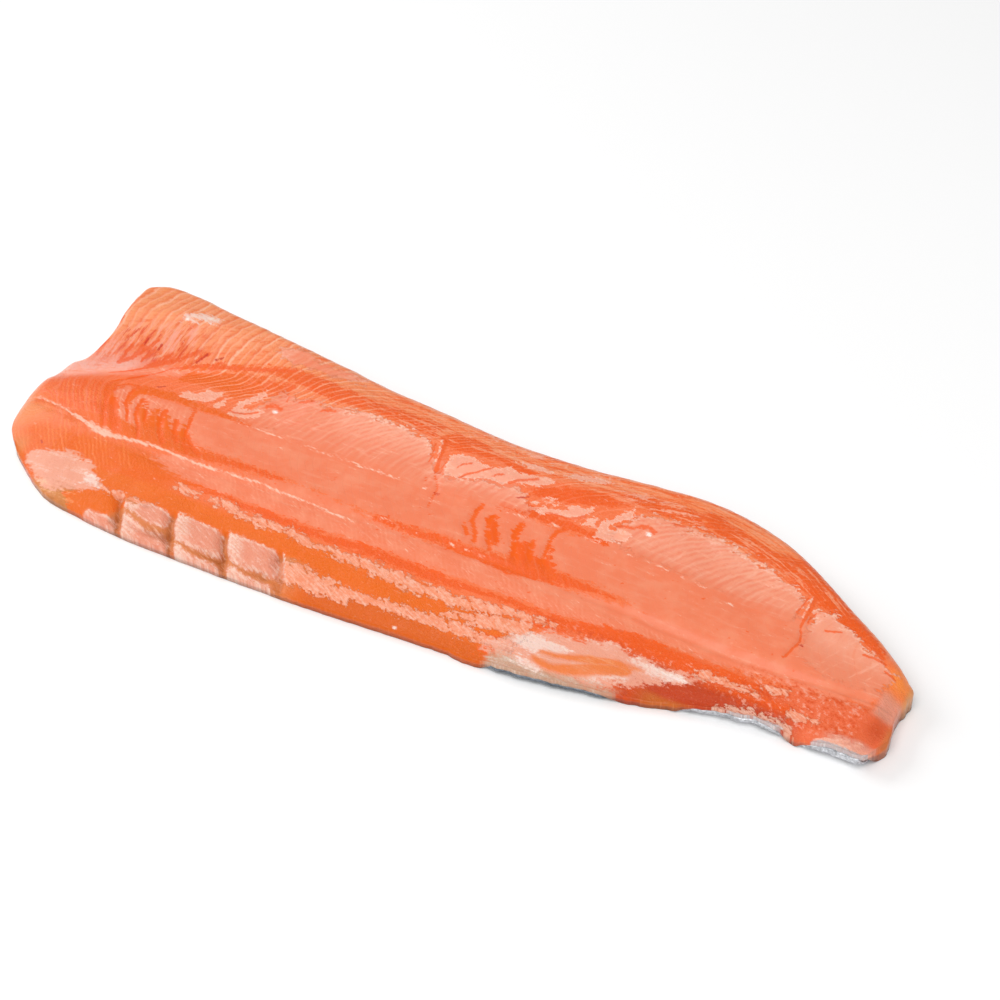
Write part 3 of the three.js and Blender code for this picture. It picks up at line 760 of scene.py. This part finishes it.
WET_FLESH = {  # refraction 1.35 as wet muscle, under a thin film of water, 1.33
    "Roughness": 0.33, "IOR": 1.35,
    "Subsurface Weight": 0.08, "Subsurface Radius": (1.0, 0.35, 0.15), "Subsurface Scale": 0.0015,
    "Coat Weight": 0.18, "Coat Roughness": 0.08, "Coat IOR": 1.33,
}


def raw_trout_flesh(names):
    """Raw trout flesh, freshly cut: wet, slightly translucent muscle. The broad soft sheen of its
    water film, with ragged edges, is painted into the colour over the shader's own gloss;
    between the films the colour is deeper. Pale sinew lines are about 0.4 mm wide, every 5 mm
    with finer ones between. The names are those of the numbers stored on the mesh: depths
    inside patches in mm, or how strongly a thing shows, 0 to 1."""
    material, tree, shader = new_material("raw_trout_flesh", WET_FLESH)
    add = partial(node, tree)
    muscle, level, along_back = (add("uv", uv_map=name) for name in ("muscle", "plan", "back"))
    on = {name: add("number", attribute_name=name) for name in names}

    def grain(source, stretch, detail=3.0, roughness=0.6, turn=0.0):
        """Random noise from -1 to 1, with its count of grains along each axis of the source, or
        of axes turned from it by an angle in radians."""
        sized = add("stretch", source, (1 / stretch[0], 1 / stretch[1], 1), (0, 0, turn))
        return add("range", add("noise", sized, 1.0, detail, roughness), 0.3, 0.7, -1.0, clamp=False)

    def mixed(source):
        """A pattern as it is, or the sum that (one, weight, another) stands for."""
        return add("plus", *map(mixed, source)) if isinstance(source, tuple) else source

    def where(mask, source, low, high):
        """The mask times a smooth rise of a pattern from its low value to its high one."""
        return add("times", mask, add("ramp", mixed(source), low, high))

    def torn(name, noise, reach, bite):
        """A patch's depth on the mesh, torn by a noise over the reach and bitten by the fine
        one, in mm."""
        return mixed(((on[name], reach, noise), bite, nibble))

    def edged(depth, softness):
        """A patch's mask from its depth: 1 inside, with an edge of twice the softness in mm."""
        return add("ramp", depth, -softness, softness)

    fingers = grain(muscle, (1.3, 0.3), 4.0, 0.65)
    spikes = grain(muscle, (4.5, 0.6), 3.0)
    nibble = grain(level, (0.8, 1.0), 4.0, 0.75)
    streaky = grain(level, (0.22, 0.85), 4.0, 0.65)
    wisps = grain(level, (0.09, 0.6), 4.0, 0.7)
    cloud = grain(level, (0.12, 0.16), 3.0)
    sinews = grain(level, (0.13, 0.75), 4.0, 0.7, 1.0)
    flow = grain(level, (0.1, 0.8), 4.0, 0.7, 0.3)
    hairs = grain(level, (1.8, 0.22), 4.0, 0.7, 1.2)
    brushed = grain(along_back, (0.08, 0.9), 4.0, 0.7)
    fine = grain(level, (1.2, 1.6), 3.0, 0.75)
    across = grain(level, (0.12, 0.6), 3.0, 0.65, 1.05)
    flecks = mixed(((grain(level, (0.45, 0.7), 3.0, 0.6, -0.5), 0.5, nibble), 0.3, fine))

    # The sinew lines: thin light ridges at each segment, finer ones between, and a painted shade
    # that deepens from one line to the next, where the flakes overlap.
    swung = mixed(((add("first", muscle), 0.1, grain(level, (0.2, 0.2), 3.0)), 0.03, nibble))
    doubled = add("times", swung, 2.0)
    main = add("ramp", add("zigzag", swung, 0.5), 0.14, 0.0)
    second = add("zigzag", doubled, 0.5)
    third = add("zigzag", add("times", swung, 3.1), 0.5)
    flake, half_flake = add("saw", swung), add("saw", doubled)
    patchy = add("ramp", grain(muscle, (0.9, 0.35), 3.0), -0.7, 0.7)
    main_broken = add("times", main, patchy)
    light_line = add("times", main_broken, on["lines"])
    between = where(where(on["lines"], grain(muscle, (1.1, 0.5)), -1.3, 0.2), second, 0.22, 0.0)
    thin = where(on["fine_lines"], grain(muscle, (1.3, 0.6)), -0.8, 0.9)
    thin = where(thin, ((third, 0.12, fine), -0.1, hairs), 0.36, 0.0)

    # The patches.
    pink = edged(torn("pink", streaky, 1.6, 0.9), 0.7)
    pale_depth = torn("pale", mixed((streaky, 0.8, fingers)), 1.7, 1.0)
    pale = add("times", edged(pale_depth, 0.2), on["film"])
    deep = edged(torn("deep", streaky, 1.1, 0.9), 0.3)
    dabbed = mixed(((streaky, 0.9, grain(level, (0.2, 0.4), 2.0)), -0.9, main))
    streak = edged(torn("streaks", dabbed, 0.9, 0.9), 0.2)
    ruddy_streak = add("times", streak, on["ruddy"])
    pad_depth = torn("pads", spikes, 0.3, 0.4)
    pad, pad_core = edged(pad_depth, 0.4), add("ramp", pad_depth, 0.0, 1.4)
    pad_rim = where(add("ramp", pad_depth, 0.0, 0.3), pad_depth, 1.2, 0.5)
    pad_glint = where(on["pad_glint"], (pad_depth, 0.6, nibble), -0.8, 0.3)
    arcs = add("zigzag", mixed((on["sweep"], 0.22, (fine, 1.0, nibble))), 0.5)
    fat = edged(torn("fat", mixed((streaky, 0.8, cloud)), 1.6, 1.0), 0.8)
    white_fat_and_highlight = edged(torn("white_fat_and_highlight", wisps, 1.4, 1.2), 1.0)
    amber = edged(torn("amber", wisps, 0.7, 0.3), 0.7)
    silver = edged(torn("silver", wisps, 1.2, 0.6), 1.5)
    flame_depth = torn("flames", mixed((streaky, 0.5, hairs)), 0.7, 0.75)
    flame = edged(flame_depth, 0.15)
    skeins = where(1.0, (on["skeins"], 0.5, (flow, 0.4, nibble)), 0.55, 0.75)
    haze = where(1.0, (on["haze"], 0.3, (hairs, 0.6, fine)), 0.3, 0.8)
    bare = where(on["lines"], pink, 1.0, 0.4)
    off_film = add("ramp", pink, 1.0, 0.3)
    banded = add("times", pale, on["banded"])
    pale_rim = where(add("ramp", pale_depth, -0.1, 0.2), pale_depth, 2.4, 0.4)

    # The colours, each laid over those before it: its hex code and strength, the mask it keeps
    # to, and the pattern it follows within that, with the values where it starts and is full.
    layers = [
        # Bare muscle, its lines and the painted shade of the flakes.
        ("#f9a27a", 0.65, bare, flow, 0.0, 0.9), ("#ec5a1a", 0.65, bare, flow, 0.0, -0.9),
        ("#ee6420", 0.5, on["lines"], half_flake, 0.4, 1.0), ("#e85c1c", 0.4, on["lines"], flake, 0.55, 1.0),
        ("#f8924e", 0.55, thin), ("#f0802c", 0.7, on["lobe"], third, 0.25, 0.5),
        ("#fba984", 0.85, between), ("#fdbb98", 0.9, light_line),
        # The film, its sheen painted into the colour, and the sinew in the crease and the valley.
        ("#ec805c", 0.85, pink),
        ("#f9a68e", 0.9, on["creased"], sinews, 0.05, 0.5),
        ("#e04414", 0.85, on["creased"], sinews, -0.1, -0.6),
        ("#f2b9aa", 0.9, on["valley"], (flow, 0.6, nibble), -2.0, 0.5),
        ("#f09472", 0.55, pink, cloud, -0.4, 1.0), ("#f29c7c", 0.4, pink, wisps, 0.0, 1.2),
        ("#ee6224", 0.55, pink, nibble, 0.55, 1.1), ("#fab193", 0.6, add("times", pink, thin)),
        ("#fcb79c", 1.6, add("times", pink, on["fine_lines"]), (hairs, 0.4, fine), 0.2, 1.1),
        ("#fbb498", 0.5, pink, (flow, 0.5, fine), 0.75, 1.3),
        ("#ee6a3c", 0.5, pink, (streaky, 0.5, fine), -0.8, -1.4),
        # Deep patches, the brushed back edge, skeins, and the tail.
        ("#ee5800", 0.9, deep), ("#ea6a04", 0.9, add("times", deep, on["flap"])),
        ("#f78f64", 0.6, deep, (nibble, 0.7, fine), 0.5, 1.4),
        ("#fca67e", 0.8, on["brushed"], (brushed, 0.3, nibble), 0.05, 0.6),
        ("#f05e16", 0.8, on["brushed"], (brushed, 0.3, nibble), 0.0, -0.6),
        ("#f7a283", 0.9, skeins), ("#fcc6ae", 0.6, skeins, fine, -0.2, 0.8),
        ("#b93606", 0.85, on["ruddy"]), ("#cb6a20", 0.8, on["ochre"]),
        ("#f99c74", 0.8, add("times", deep, mixed((light_line, 0.7, between)))),
        ("#f1a088", 0.8, on["mottle"], flecks, 0.25, 0.9),
        ("#dc4a04", 0.85, on["mottle"], flecks, 0.1, -0.9),
        # The pale film, its sheen painted into the colour, the painted highlight along its torn rim, and its
        # faint bands and lines.
        ("#ea8866", 0.95, pale), ("#f2a68a", 0.8, add("times", pale, on["sheen"])),
        ("#fdd4be", 0.85, add("times", pale_rim, on["sheen"]), (nibble, 0.6, fine), -0.6, 0.7),
        ("#ea7450", 0.5, where(banded, second, 0.1, 0.42), across, 0.8, -0.6),
        ("#fbbca2", 0.35, pale, across, 0.3, 1.2),
        ("#fabda2", 0.2, add("times", banded, patchy), second, 0.3, 0.0),
        ("#ee7c54", 0.4, add("times", pale, main_broken)), ("#fab498", 0.45, pale, wisps, 0.1, 1.2),
        # Bright pools of the film's painted sheen, and the streaks of fat.
        ("#f4a488", 0.95, flame), ("#fbc0a6", 0.6, flame, streaky, 0.1, 0.9),
        ("#fbc8b0", 0.7, flame, (flame_depth, 0.5, fine), 0.7, 0.0),
        ("#f4946e", 0.85, streak), ("#f9c0a8", 0.7, streak, (hairs, 0.7, nibble), -0.5, 0.8),
        ("#e4ae98", 0.85, ruddy_streak), ("#bb4a20", 0.75, ruddy_streak, (hairs, 0.8, fine), 0.1, -0.7),
        # The pads between the rib prints, with painted highlights at their left ends and along their edges,
        # and painted shade at their right ends and between the rows.
        ("#f0b494", 0.75, on["wedge"], hairs, 0.0, 0.9), ("#ea957a", 0.9, pad),
        ("#f8c8b6", 0.75, pad_core, (hairs, 0.5, fine), 0.0, 1.2),
        ("#e27f62", 0.65, pad_core, hairs, -0.2, -1.2),
        ("#eeae94", 0.8, pad_glint), ("#f8d6c6", 0.7, pad_glint, (hairs, 0.7, fine), -0.3, 0.9),
        ("#fbdccd", 0.4, pad_glint, arcs, 0.25, 0.45),
        ("#fad2c0", 0.75, pad_rim, (hairs, 0.6, nibble), -0.7, 0.6),
        ("#a0521e", 0.75, on["pad_shade"], hairs, 1.2, -0.6),
        ("#dfa888", 0.65, on["pad_shade"], hairs, 0.2, 0.9),
        # Fat, the silvery lining by the vent, a painted highlight on the shoulder, and the lobes of muscle
        # that show through.
        ("#efa68c", 0.9, fat), ("#f5c4b0", 0.7, fat, (wisps, 0.6, nibble), 0.0, 1.0),
        ("#f4bb80", 0.7, on["straw"], (wisps, 0.5, nibble), 0.0, 0.9),
        ("#bd7238", 0.7, on["straw"], (wisps, 0.5, nibble), -0.2, -1.0),
        ("#c69c82", 0.9, silver), ("#dcc8b8", 0.85, silver, (wisps, 0.5, fine), -0.2, 1.0),
        ("#bfb4b4", 0.9, haze), ("#e6e2e2", 0.8, haze, (nibble, 0.6, fine), 0.0, 0.9),
        ("#f4d2c4", 0.9, white_fat_and_highlight), ("#f9e6de", 0.8, white_fat_and_highlight, (wisps, 0.5, nibble), 0.2, 1.0),
        ("#ee7a30", 0.9, amber), ("#f4a878", 0.6, amber, wisps, 0.2, 1.0),
        # Slits, cuts, folds, pale sinew, painted glints of water drops, painted shade in the rib prints and
        # specks of blood.
        ("#f05e0c", 0.9, 1.0, (on["slits"], 0.3, (streaky, 0.7, nibble)), 0.22, 0.6),
        ("#ee5e1a", 0.8, 1.0, (on["cuts"], 0.25, nibble), 0.35, 0.75),
        ("#ee5c18", 0.8, 1.0, (on["folds"], 0.4, nibble), 0.3, 0.8),
        ("#fcc6ae", 0.9, 1.0, (on["white"], 0.36, ((wisps, 0.8, nibble), 1.0, hairs)), 0.32, 0.9),
        ("#fff0e8", 0.9, 1.0, (on["glints"], 0.25, fine), 0.3, 1.0),
        ("#a8541c", 0.75, on["dark"]),
        ("#c82a10", 0.85, 1.0, (on["red"], 0.3, nibble), 0.4, 0.9),
        # Fine light and dark grain off the film.
        ("#fba470", 0.4, off_film, fine, 0.2, 1.5), ("#e04c0c", 0.4, off_film, fine, -0.2, -1.5),
    ]
    colour = add("colour", layer_name="tone")
    for code, strength, mask, *follows in layers:
        share = where(mask, *follows) if follows else mask
        colour = add("over", add("times", share, strength), colour, rgba(code))
    tree.links.new(colour, shader.inputs["Base Color"])

    # The relief, up to 0.3 mm: flakes, grain, the edge of the film and the streaks.
    open_flesh = where(add("ramp", pink, 1.0, 0.2), pale, 1.0, 0.2)
    flakes = add("times", half_flake, add("times", on["lines"], 0.8))
    grained = (flakes, 0.25, add("times", fine, open_flesh))
    relief = mixed((((grained, 0.4, pale), add("times", open_flesh, 0.2), nibble), 0.5, streak))
    tree.links.new(add("bump", relief, 0.00028, 0.8), shader.inputs["Normal"])
    return material


CENTRE = [  # the pale sinew along the lateral line
    (-8, 4), (0, 3), (10, 0.8), (20, -2.1), (30, -3.9), (36, -3.4), (48, -3), (60, -3.6), (80, -3.1),
    (100, -3.7), (116, -4.8), (125, -3.4), (150, -3.2), (200, -2),
]
SPECKS = [  # blood left in the crease of the shoulder and on the slab
    (0.4, [(31.1, 18.6), (33.3, 19.7)]), (0.4, [(9.4, 30.6), (10.6, 32)]), (0.45, [(37, 31), (39.6, 33.4)]),
    (0.35, [(19.6, 29), (20.4, 30.4)]), (0.4, [(42.6, 33), (45, 34)]), (0.35, [(24, 29.6), (25, 31.2)]),
    (0.4, [(152, 19.8), (155, 21)]), (0.5, [(129, 13.6), (130.6, 13.4)]),
    (0.45, [(241.6, 9.4), (242.6, 9)]), (0.35, [(9.5, -11.5), (10.5, -12.2)]),
]
FOLDS = [  # deep lines where the shoulder folds onto the slab
    (0.7, [(42, 30.8), (50, 33), (58, 34.8), (68, 37)]),
    (0.4, [(12.4, 19.8), (17.3, 22), (22.5, 25.3), (29.7, 29.5), (37.2, 33)]),
    (0.4, [(20.2, 18.2), (24.4, 22.5), (30.3, 27.6), (38.8, 30.3)]),
    (0.5, [(13.1, 23.3), (17.4, 25.9), (20.7, 28.7), (23.5, 31.3)]),
    (0.5, [(37.1, 33.3), (33.4, 31.4), (29.1, 28.7)]), (0.6, [(16.3, 28), (14.7, 25.7), (13.7, 24)]),
    (0.6, [(19.9, 29.4), (18.5, 27.5), (17.3, 26.2)]), (0.5, [(23.3, 29.9), (21.6, 27.8), (20.1, 26.2)]),
    (0.6, [(28.7, 30.3), (25.8, 27.9), (22.2, 25.8)]), (0.6, [(35, 29.6), (37, 31.4), (40, 33.6)]),
    (0.4, [(35.4, 29.4), (42, 31.6), (46, 33.4)]), (0.4, [(131.4, 23), (132.6, 24.3), (134.9, 25.2)]),
    (0.45, [(133.6, 20.3), (134.8, 21.6), (137.8, 23.3), (141.4, 25.9)]),
    (0.4, [(142.6, 23.5), (143.6, 24.5), (145.1, 25.1)]),
    (0.6, [(147.8, 23.2), (149.4, 24.4), (151.9, 25.5), (154.8, 27.1)]),
    (0.7, [(148.2, 29), (150.4, 28.3), (152.9, 28.6)]),
    (0.5, [(161.6, 18.5), (164.5, 18.6), (169.4, 19.1), (172.5, 21.1)]),
    (0.45, [(57, 18), (62, 18.6), (66, 21)]), (0.5, [(182, 22), (187, 23.4)]),
    (0.95, [(67.2, 23.6), (69, 24.4), (71.4, 24)]), (0.5, [(72, 27), (72, 28)]),
    (0.8, [(188, 24.2), (190, 25), (192.2, 24.4)]), (0.5, [(76, 27.4), (80, 28.8)]),
    (0.5, [(84, 26.8), (88, 27.8)]), (0.5, [(196, 28.6), (199, 29.4)]), (0.4, [(246, 16.4), (250, 17.6)]),
    (0.5, [(258, 13.4), (260.9, 13.7), (264.3, 12.9)]),
    (0.8, [(257.4, 17.6), (260.2, 16.3), (262.9, 14.3)]), (0.4, [(264.8, 11), (268.1, 9.6)]),
]
GLINTS = [  # painted glints on drops of water
    (0.5, [(29.4, 38.2), (30, 38.6)]), (0.7, [(70, 22.7), (70.8, 22.7)]),
    (0.7, [(190.6, 23.2), (191.4, 23.2)]), (0.5, [(140, -28.6), (140.6, -28.6)]),
]
TICKS = 70  # short scratches over the film: where, how long and how steep they may be
TICK_LOW, TICK_HIGH = (58, -7, 0.1, -0.3), (246, 13, 0.7, 0.9)
TICK_WIDTH = 0.36

x, y = plan_points[:, 0], plan_points[:, 1]
level_x = 0 * x
from_back = curve(BACK_EDGE, x / LENGTH) - y
beside = y - curve(VALLEY_LINE, x)
# The film's pink, pale and flames patches are its sheen, painted into the colour.
fields = {
    "pink": deepest(band, x, y, PINK), "pale": deepest(band, x, y, PALE),
    "streaks": deepest(band, x, y, STREAKS), "fat": deepest(band, x, y, FAT),
    "white_fat_and_highlight": deepest(band, x, y, WHITE_FAT_AND_HIGHLIGHT), "amber": deepest(band, x, y, AMBER),
    "silver": deepest(band, x, y, SILVER), "flames": deepest(blot, x, y, FLAMES),
    "lines": line_strength(x, y), "fine_lines": fine_strength(x, y),
    "glints": strokes(x, y, GLINTS), "red": strokes(x, y, SPECKS),
}
bare = deepest(blot, x, y, BARE) - 0.4 - 0.25 * smooth_step(120, 140, x)
fields["deep"] = np.maximum(deepest(band, x, y, DEEP), bare)
flap = smooth_step(-12.5, -15.5, y) * smooth_step(175, 150, x)
fields["flap"] = np.maximum(flap, 0.6 * smooth_step(80, 48, x))

# Pale sinew along the lateral line, the row of pin bones, the cuts' lips and a few flecks.
thick = 0.46 + 1.1 * bell(x, 26, 6) + 0.15 * smooth_step(20, 0, x)
sinew = (0.55 + 0.45 * smooth_step(2, 12, x)) * bell(y - curve(CENTRE, x), 0, thick)
sinew = sinew * (1 - 0.15 * smooth_step(40, 60, x)) * smooth_step(124, 106, x)
pin_row = 15 - smooth_step(60, 110, x) + 1.8 * smooth_step(140, 170, x) - 3 * smooth_step(205, 230, x)
dashes = smooth_step(-0.2, 0.5, lattice(x, level_x, 2.2, 61)) * window(x, (58, 70), (222, 232))
shown = np.maximum(dashes, 0.9 * window(x, (58, 66), (112, 122)))
pin_bones = 0.7 * bell(y - pin_row + 0.3 * lattice(x, y, 3, 62), 0, 0.5) * shown
flecks = smooth_step(0, 0.6, lattice(x, level_x, 1.5, 63)) * window(x, (116, 120), (156, 162))
flecks = 0.65 * flecks * bell(y + 0.9 + 0.008 * (x - 120), 0, 0.4)
fields["white"] = np.maximum.reduce([sinew, pin_bones, 0.9 * strokes(x, y, LIPS), flecks])

# Slits, cuts, folds and scratches.
fields["slits"] = strokes(x, y, GAPES) * (1 - 0.25 * smooth_step(100, 130, x))
gash = smooth_step(-0.5, 0.4, deepest(blot, x, y, GASHES))
fields["cuts"] = np.maximum(0.9 * strokes(x, y, CUTS), gash)
drawn = np.random.default_rng(71).uniform(TICK_LOW, TICK_HIGH, (TICKS, 4))
ticks = [(TICK_WIDTH, [(a, b), (a + run, b + run * lean)]) for a, b, run, lean in drawn]
fields["folds"] = np.maximum(strokes(x, y, FOLDS), 0.8 * strokes(x, y, ticks))

# The pads and the rib prints between them: painted shade in the prints, at the pads' right ends and between
# the rows, and painted highlights at the pads' left ends.
place = rib_place(x, y)
share = place % 1
on_pads = window(x, (44, 47), (98, 101)) * smooth_step(-20.4, -22, y)
between_rows = smooth_step(0.2, 0.85, share) * bell(y, -28 - 0.8 * (place > 1), 1.3)
right_end = np.minimum(1, smooth_step(0.88, 0.98, share) + between_rows)
fields["pads"] = pad_depth(x, y)
# Painted shade in the rib prints.
fields["dark"] = 0.5 * rib_prints(x, y)[0] ** 2
fields["pad_shade"] = on_pads * right_end * (place > -0.2)
fields["sweep"] = (y + 24.9 + 3.4 * smooth_step(0, 0.5, share)) / 1.3
fields["wedge"] = on_pads * bell(y, row_line(x, y), 1.6)
fields["pad_glint"] = window(x, (44, 47), (112, 118)) * window(share, (0.04, 0.09), (0.14, 0.4))

# Where the film's painted sheen shows, where it is painted brightest, and where it is banded.
thick_loin = window(x, (76, 100), (121, 124))
sheen = smooth_step(18, 27, y + 12 * smooth_step(238, 246, x))
sheen = sheen * np.maximum(thick_loin, smooth_step(196, 214, x))
upper = 0.55 * smooth_step(17, 20, y) * (1 - window(x, (60, 70), (122, 126)))
fields["sheen"] = np.maximum(sheen, upper) * (1 - 0.2 * smooth_step(236, 242, x))
fields["film"] = smooth_step(13.5, 19, y + 14 * smooth_step(234, 248, x))
fields["banded"] = 1 - 0.8 * smooth_step(226, 240, x)

# The head cut and the back edge.
fields["straw"] = smooth_step(-21, -24.5, y) * smooth_step(35, 28, x)
fields["valley"] = bell(y - 17.2 - 0.4 * x, 0, 3.4 - 0.06 * x) * smooth_step(27, 14, x)
fields["creased"] = window(beside, (0, 2.5), (7, 11)) * smooth_step(48, 30, x)
sinking = y + 0.1 * np.maximum(0, x - 200)
fields["brushed"] = smooth_step(26, 31, sinking) * window(x, (82, 110), (262, 268))
high_row = bell(y - 36 + 0.05 * np.maximum(0, x - 140) ** 1.05, 0, 4.2)
fields["skeins"] = (
    0.55 * high_row * window(x, (118, 128), (196, 215))
    + 0.5 * bell(y, 20, 3.4) * window(x, (148, 158), (176, 184))
)
from_lobe = np.hypot(x + 1, y - 0.5)
lobe = fields["lobe"] = smooth_step(9, 5, from_lobe)

# The tail: its redder edge, its mottling, and the skin's silver carried onto the flesh.
fields["ruddy"] = smooth_step(-10, -13, y) * window(x, (200, 212), (246, 254))
fields["ochre"] = smooth_step(-17.6, -19.6, y) * window(x, (206, 214), (228, 234))
mottle = window(x, (226, 236), (264, 267)) * smooth_step(0, -3, y) * smooth_step(-15, -12.5, y)
torn_edge = bell(y + 11.6 - 0.05 * np.clip(x - 178, 0, 24), 0, 1.5) * window(x, (174, 180), (230, 240))
fields["mottle"] = np.maximum(mottle, 0.9 * torn_edge)
above_skin = y - curve(BELLY_EDGE, x / LENGTH) - 0.5 * smooth_step(254, 262, x)
at_tail = np.maximum(window(x, (229, 234), (245, 250)), smooth_step(254, 258, x))
fields["haze"] = smooth_step(1.6, 0.2, above_skin) * at_tail

flesh = add_piece("flesh_slab", flesh_points, face_lists, raw_trout_flesh(fields))
for name, values in fields.items():
    set_value(flesh.data, name, values)
set_tone(flesh.data, "tone", flesh_tone(x, y))
set_map(flesh.data, "muscle", segments(x, y) * (1 - lobe) + from_lobe / 3.2 * lobe, y / SEGMENT)
set_map(flesh.data, "plan", x, y)
set_map(flesh.data, "back", x, from_back)
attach(flesh, "root")
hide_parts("flesh")


# ---------- skin ----------
# The trout's skin under the whole fillet, 0.8 mm thick with fine scales: silver on the belly, a
# rosy band along the lateral line, and olive with small dark spots over the back. It turns up
# round the rim, and its cut edge shows below the flesh near the vent and at the tail.

SKIN_CELLS = (300, 100)
TUCK = 1.4  # the skin's edge lies this far inside where the flesh hangs over it, mm

cells_s, cells_t = SKIN_CELLS
skin_s, skin_t = np.meshgrid(crowd(cells_s + 1, 0.3), crowd(cells_t + 1, 0.5), indexing="ij")
numbers = np.arange(skin_s.size).reshape(skin_s.shape)
width = curve(BACK_EDGE, skin_s) - curve(BELLY_EDGE, skin_s)
hidden = covered(skin_s, 0 * skin_t)
tucked_t = skin_t + TUCK / width * hidden * (1 - skin_t)
tucked_s = skin_s * (1 - TUCK / LENGTH * (1 - smooth_step(0.9, 0.98, skin_t)))
under = sheet_points(turn_up(tucked_s, tucked_t)[0], tucked_s, tucked_t)
inner = sheet_points(skin_top(tucked_s, tucked_t), tucked_s, tucked_t)
faces = [grid_faces(numbers, turned=True), grid_faces(numbers + skin_s.size)]
faces.append(side_faces(rim(numbers + skin_s.size), rim(numbers)))


WET_SKIN = {"Metallic": 0.3, "Roughness": 0.34, "Coat Weight": 0.4, "Coat Roughness": 0.15}


def wet_trout_skin():
    """Wet fish skin: a silvery layer under clear mucus, so partly metallic and glossy, with round
    scales about 1 mm apart, a mottling of 4 mm and dark spots about 5 mm apart on the back."""
    material, tree, shader = new_material("wet_trout_skin", WET_SKIN)
    add = partial(node, tree)
    place = add("place")
    mottle = add("range", add("noise", place, 250.0, 4.0), 0.3, 0.7, 0.6, 1.2)
    sparkle = add("range", add("noise", place, 1300.0, 2.0), 0.35, 0.65, 0.7, 1.25)
    shade = add("shade", add("colour", layer_name="tone"), add("times", mottle, sparkle))
    spots = add("range", add("cells", place, 220.0), 0.3, 0.2)
    on_back = add("times", spots, add("number", attribute_name="back"))
    tree.links.new(add("over", on_back, shade, rgba("#23231f")), shader.inputs["Base Color"])
    scales = add("cells", place, 1000.0)
    tree.links.new(add("bump", scales, 0.0001, 0.5), shader.inputs["Normal"])
    return material


skin_points = (np.concatenate([under, inner]) + SHIFT) * MM
skin = add_piece("skin_layer", skin_points, np.concatenate(faces).tolist(), wet_trout_skin())
across, along = np.tile(skin_t.ravel(), 2), np.tile(skin_s.ravel(), 2) * LENGTH
by_edge = smooth_step(0.1, 0.03, across)
silver = np.broadcast_to(hex_to_linear("#aeb0b8"), (len(across), 3))
tone = laid_over(silver, [
    ("#d99a8c", bell(across, 0.42, 0.1)),
    ("#6d7058", smooth_step(0.5, 0.75, across)),
    ("#6c737d", by_edge * window(along, (158, 168), (206, 216))),
    ("#cdced3", by_edge * smooth_step(222, 232, along)),
])
set_tone(skin.data, "tone", tone)
set_value(skin.data, "back", smooth_step(0.4, 0.6, across))
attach(skin, "root")
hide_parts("skin")


# ---------- floor, light and camera ----------
# A plain pale table under soft studio light: a softbox at the head end that rakes across the
# relief, a wide fill from above the front, and a pale room.

floor_mesh = bpy.data.meshes.new("floor")
HALF = 3.0
corners = [(-HALF, -HALF, 0), (HALF, -HALF, 0), (HALF, HALF, 0), (-HALF, HALF, 0)]
floor_mesh.from_pydata(corners, [], [(0, 1, 2, 3)])
floor = bpy.data.objects.new("floor", floor_mesh)
bpy.context.scene.collection.objects.link(floor)
# Matt white laminate.
floor_material, tree, shader = new_material("pale_table", {"Roughness": 0.9, "Specular IOR Level": 0.1})
shader.inputs["Base Color"].default_value = rgba("#fdfdfd")
floor_mesh.materials.append(floor_material)

world = bpy.data.worlds.new("room")
bpy.context.scene.world = world
world.use_nodes = True
background = world.node_tree.nodes["Background"]
background.inputs["Color"].default_value = (1, 1, 1, 1)
background.inputs["Strength"].default_value = 0.4


def softbox(name, place, size, power):
    """A rectangular area light aimed at the fillet: its place and size in metres, its power in
    watts."""
    light = bpy.data.lights.new(name, "AREA")
    light.shape = "RECTANGLE"
    light.size, light.size_y = size
    light.energy = power
    lamp = bpy.data.objects.new(name, light)
    lamp.location = place
    lamp.rotation_euler = (-Vector(place)).to_track_quat("-Z", "Y").to_euler()
    bpy.context.scene.collection.objects.link(lamp)


softbox("side_softbox", place=(-1.25, 0.1, 0.8), size=(0.9, 0.7), power=8.4)
softbox("front_fill", place=(0.3, -0.9, 1.6), size=(1.6, 1.6), power=24.1)

LENS_MM = 79.2
AIM = Vector((0.1384, 0.0354, 0)) + Vector(SHIFT) * MM  # the point the camera looks at
AWAY = 0.64  # from that point to the camera, m
RIGHT, UP, BACK = Vector((0.882, 0.471, 0)), Vector((-0.303, 0.567, 0.766)), Vector((0.361, -0.676, 0.643))
camera_data = bpy.data.cameras.new("camera")
camera_data.lens = LENS_MM
camera_data.clip_start = 0.01
camera = bpy.data.objects.new("camera", camera_data)
turned = Matrix((RIGHT, UP, BACK)).transposed().to_4x4()
camera.matrix_world = Matrix.Translation(AIM + BACK * AWAY) @ turned
bpy.context.scene.collection.objects.link(camera)
bpy.context.scene.camera = camera
bpy.context.scene.view_settings.view_transform = "Standard"
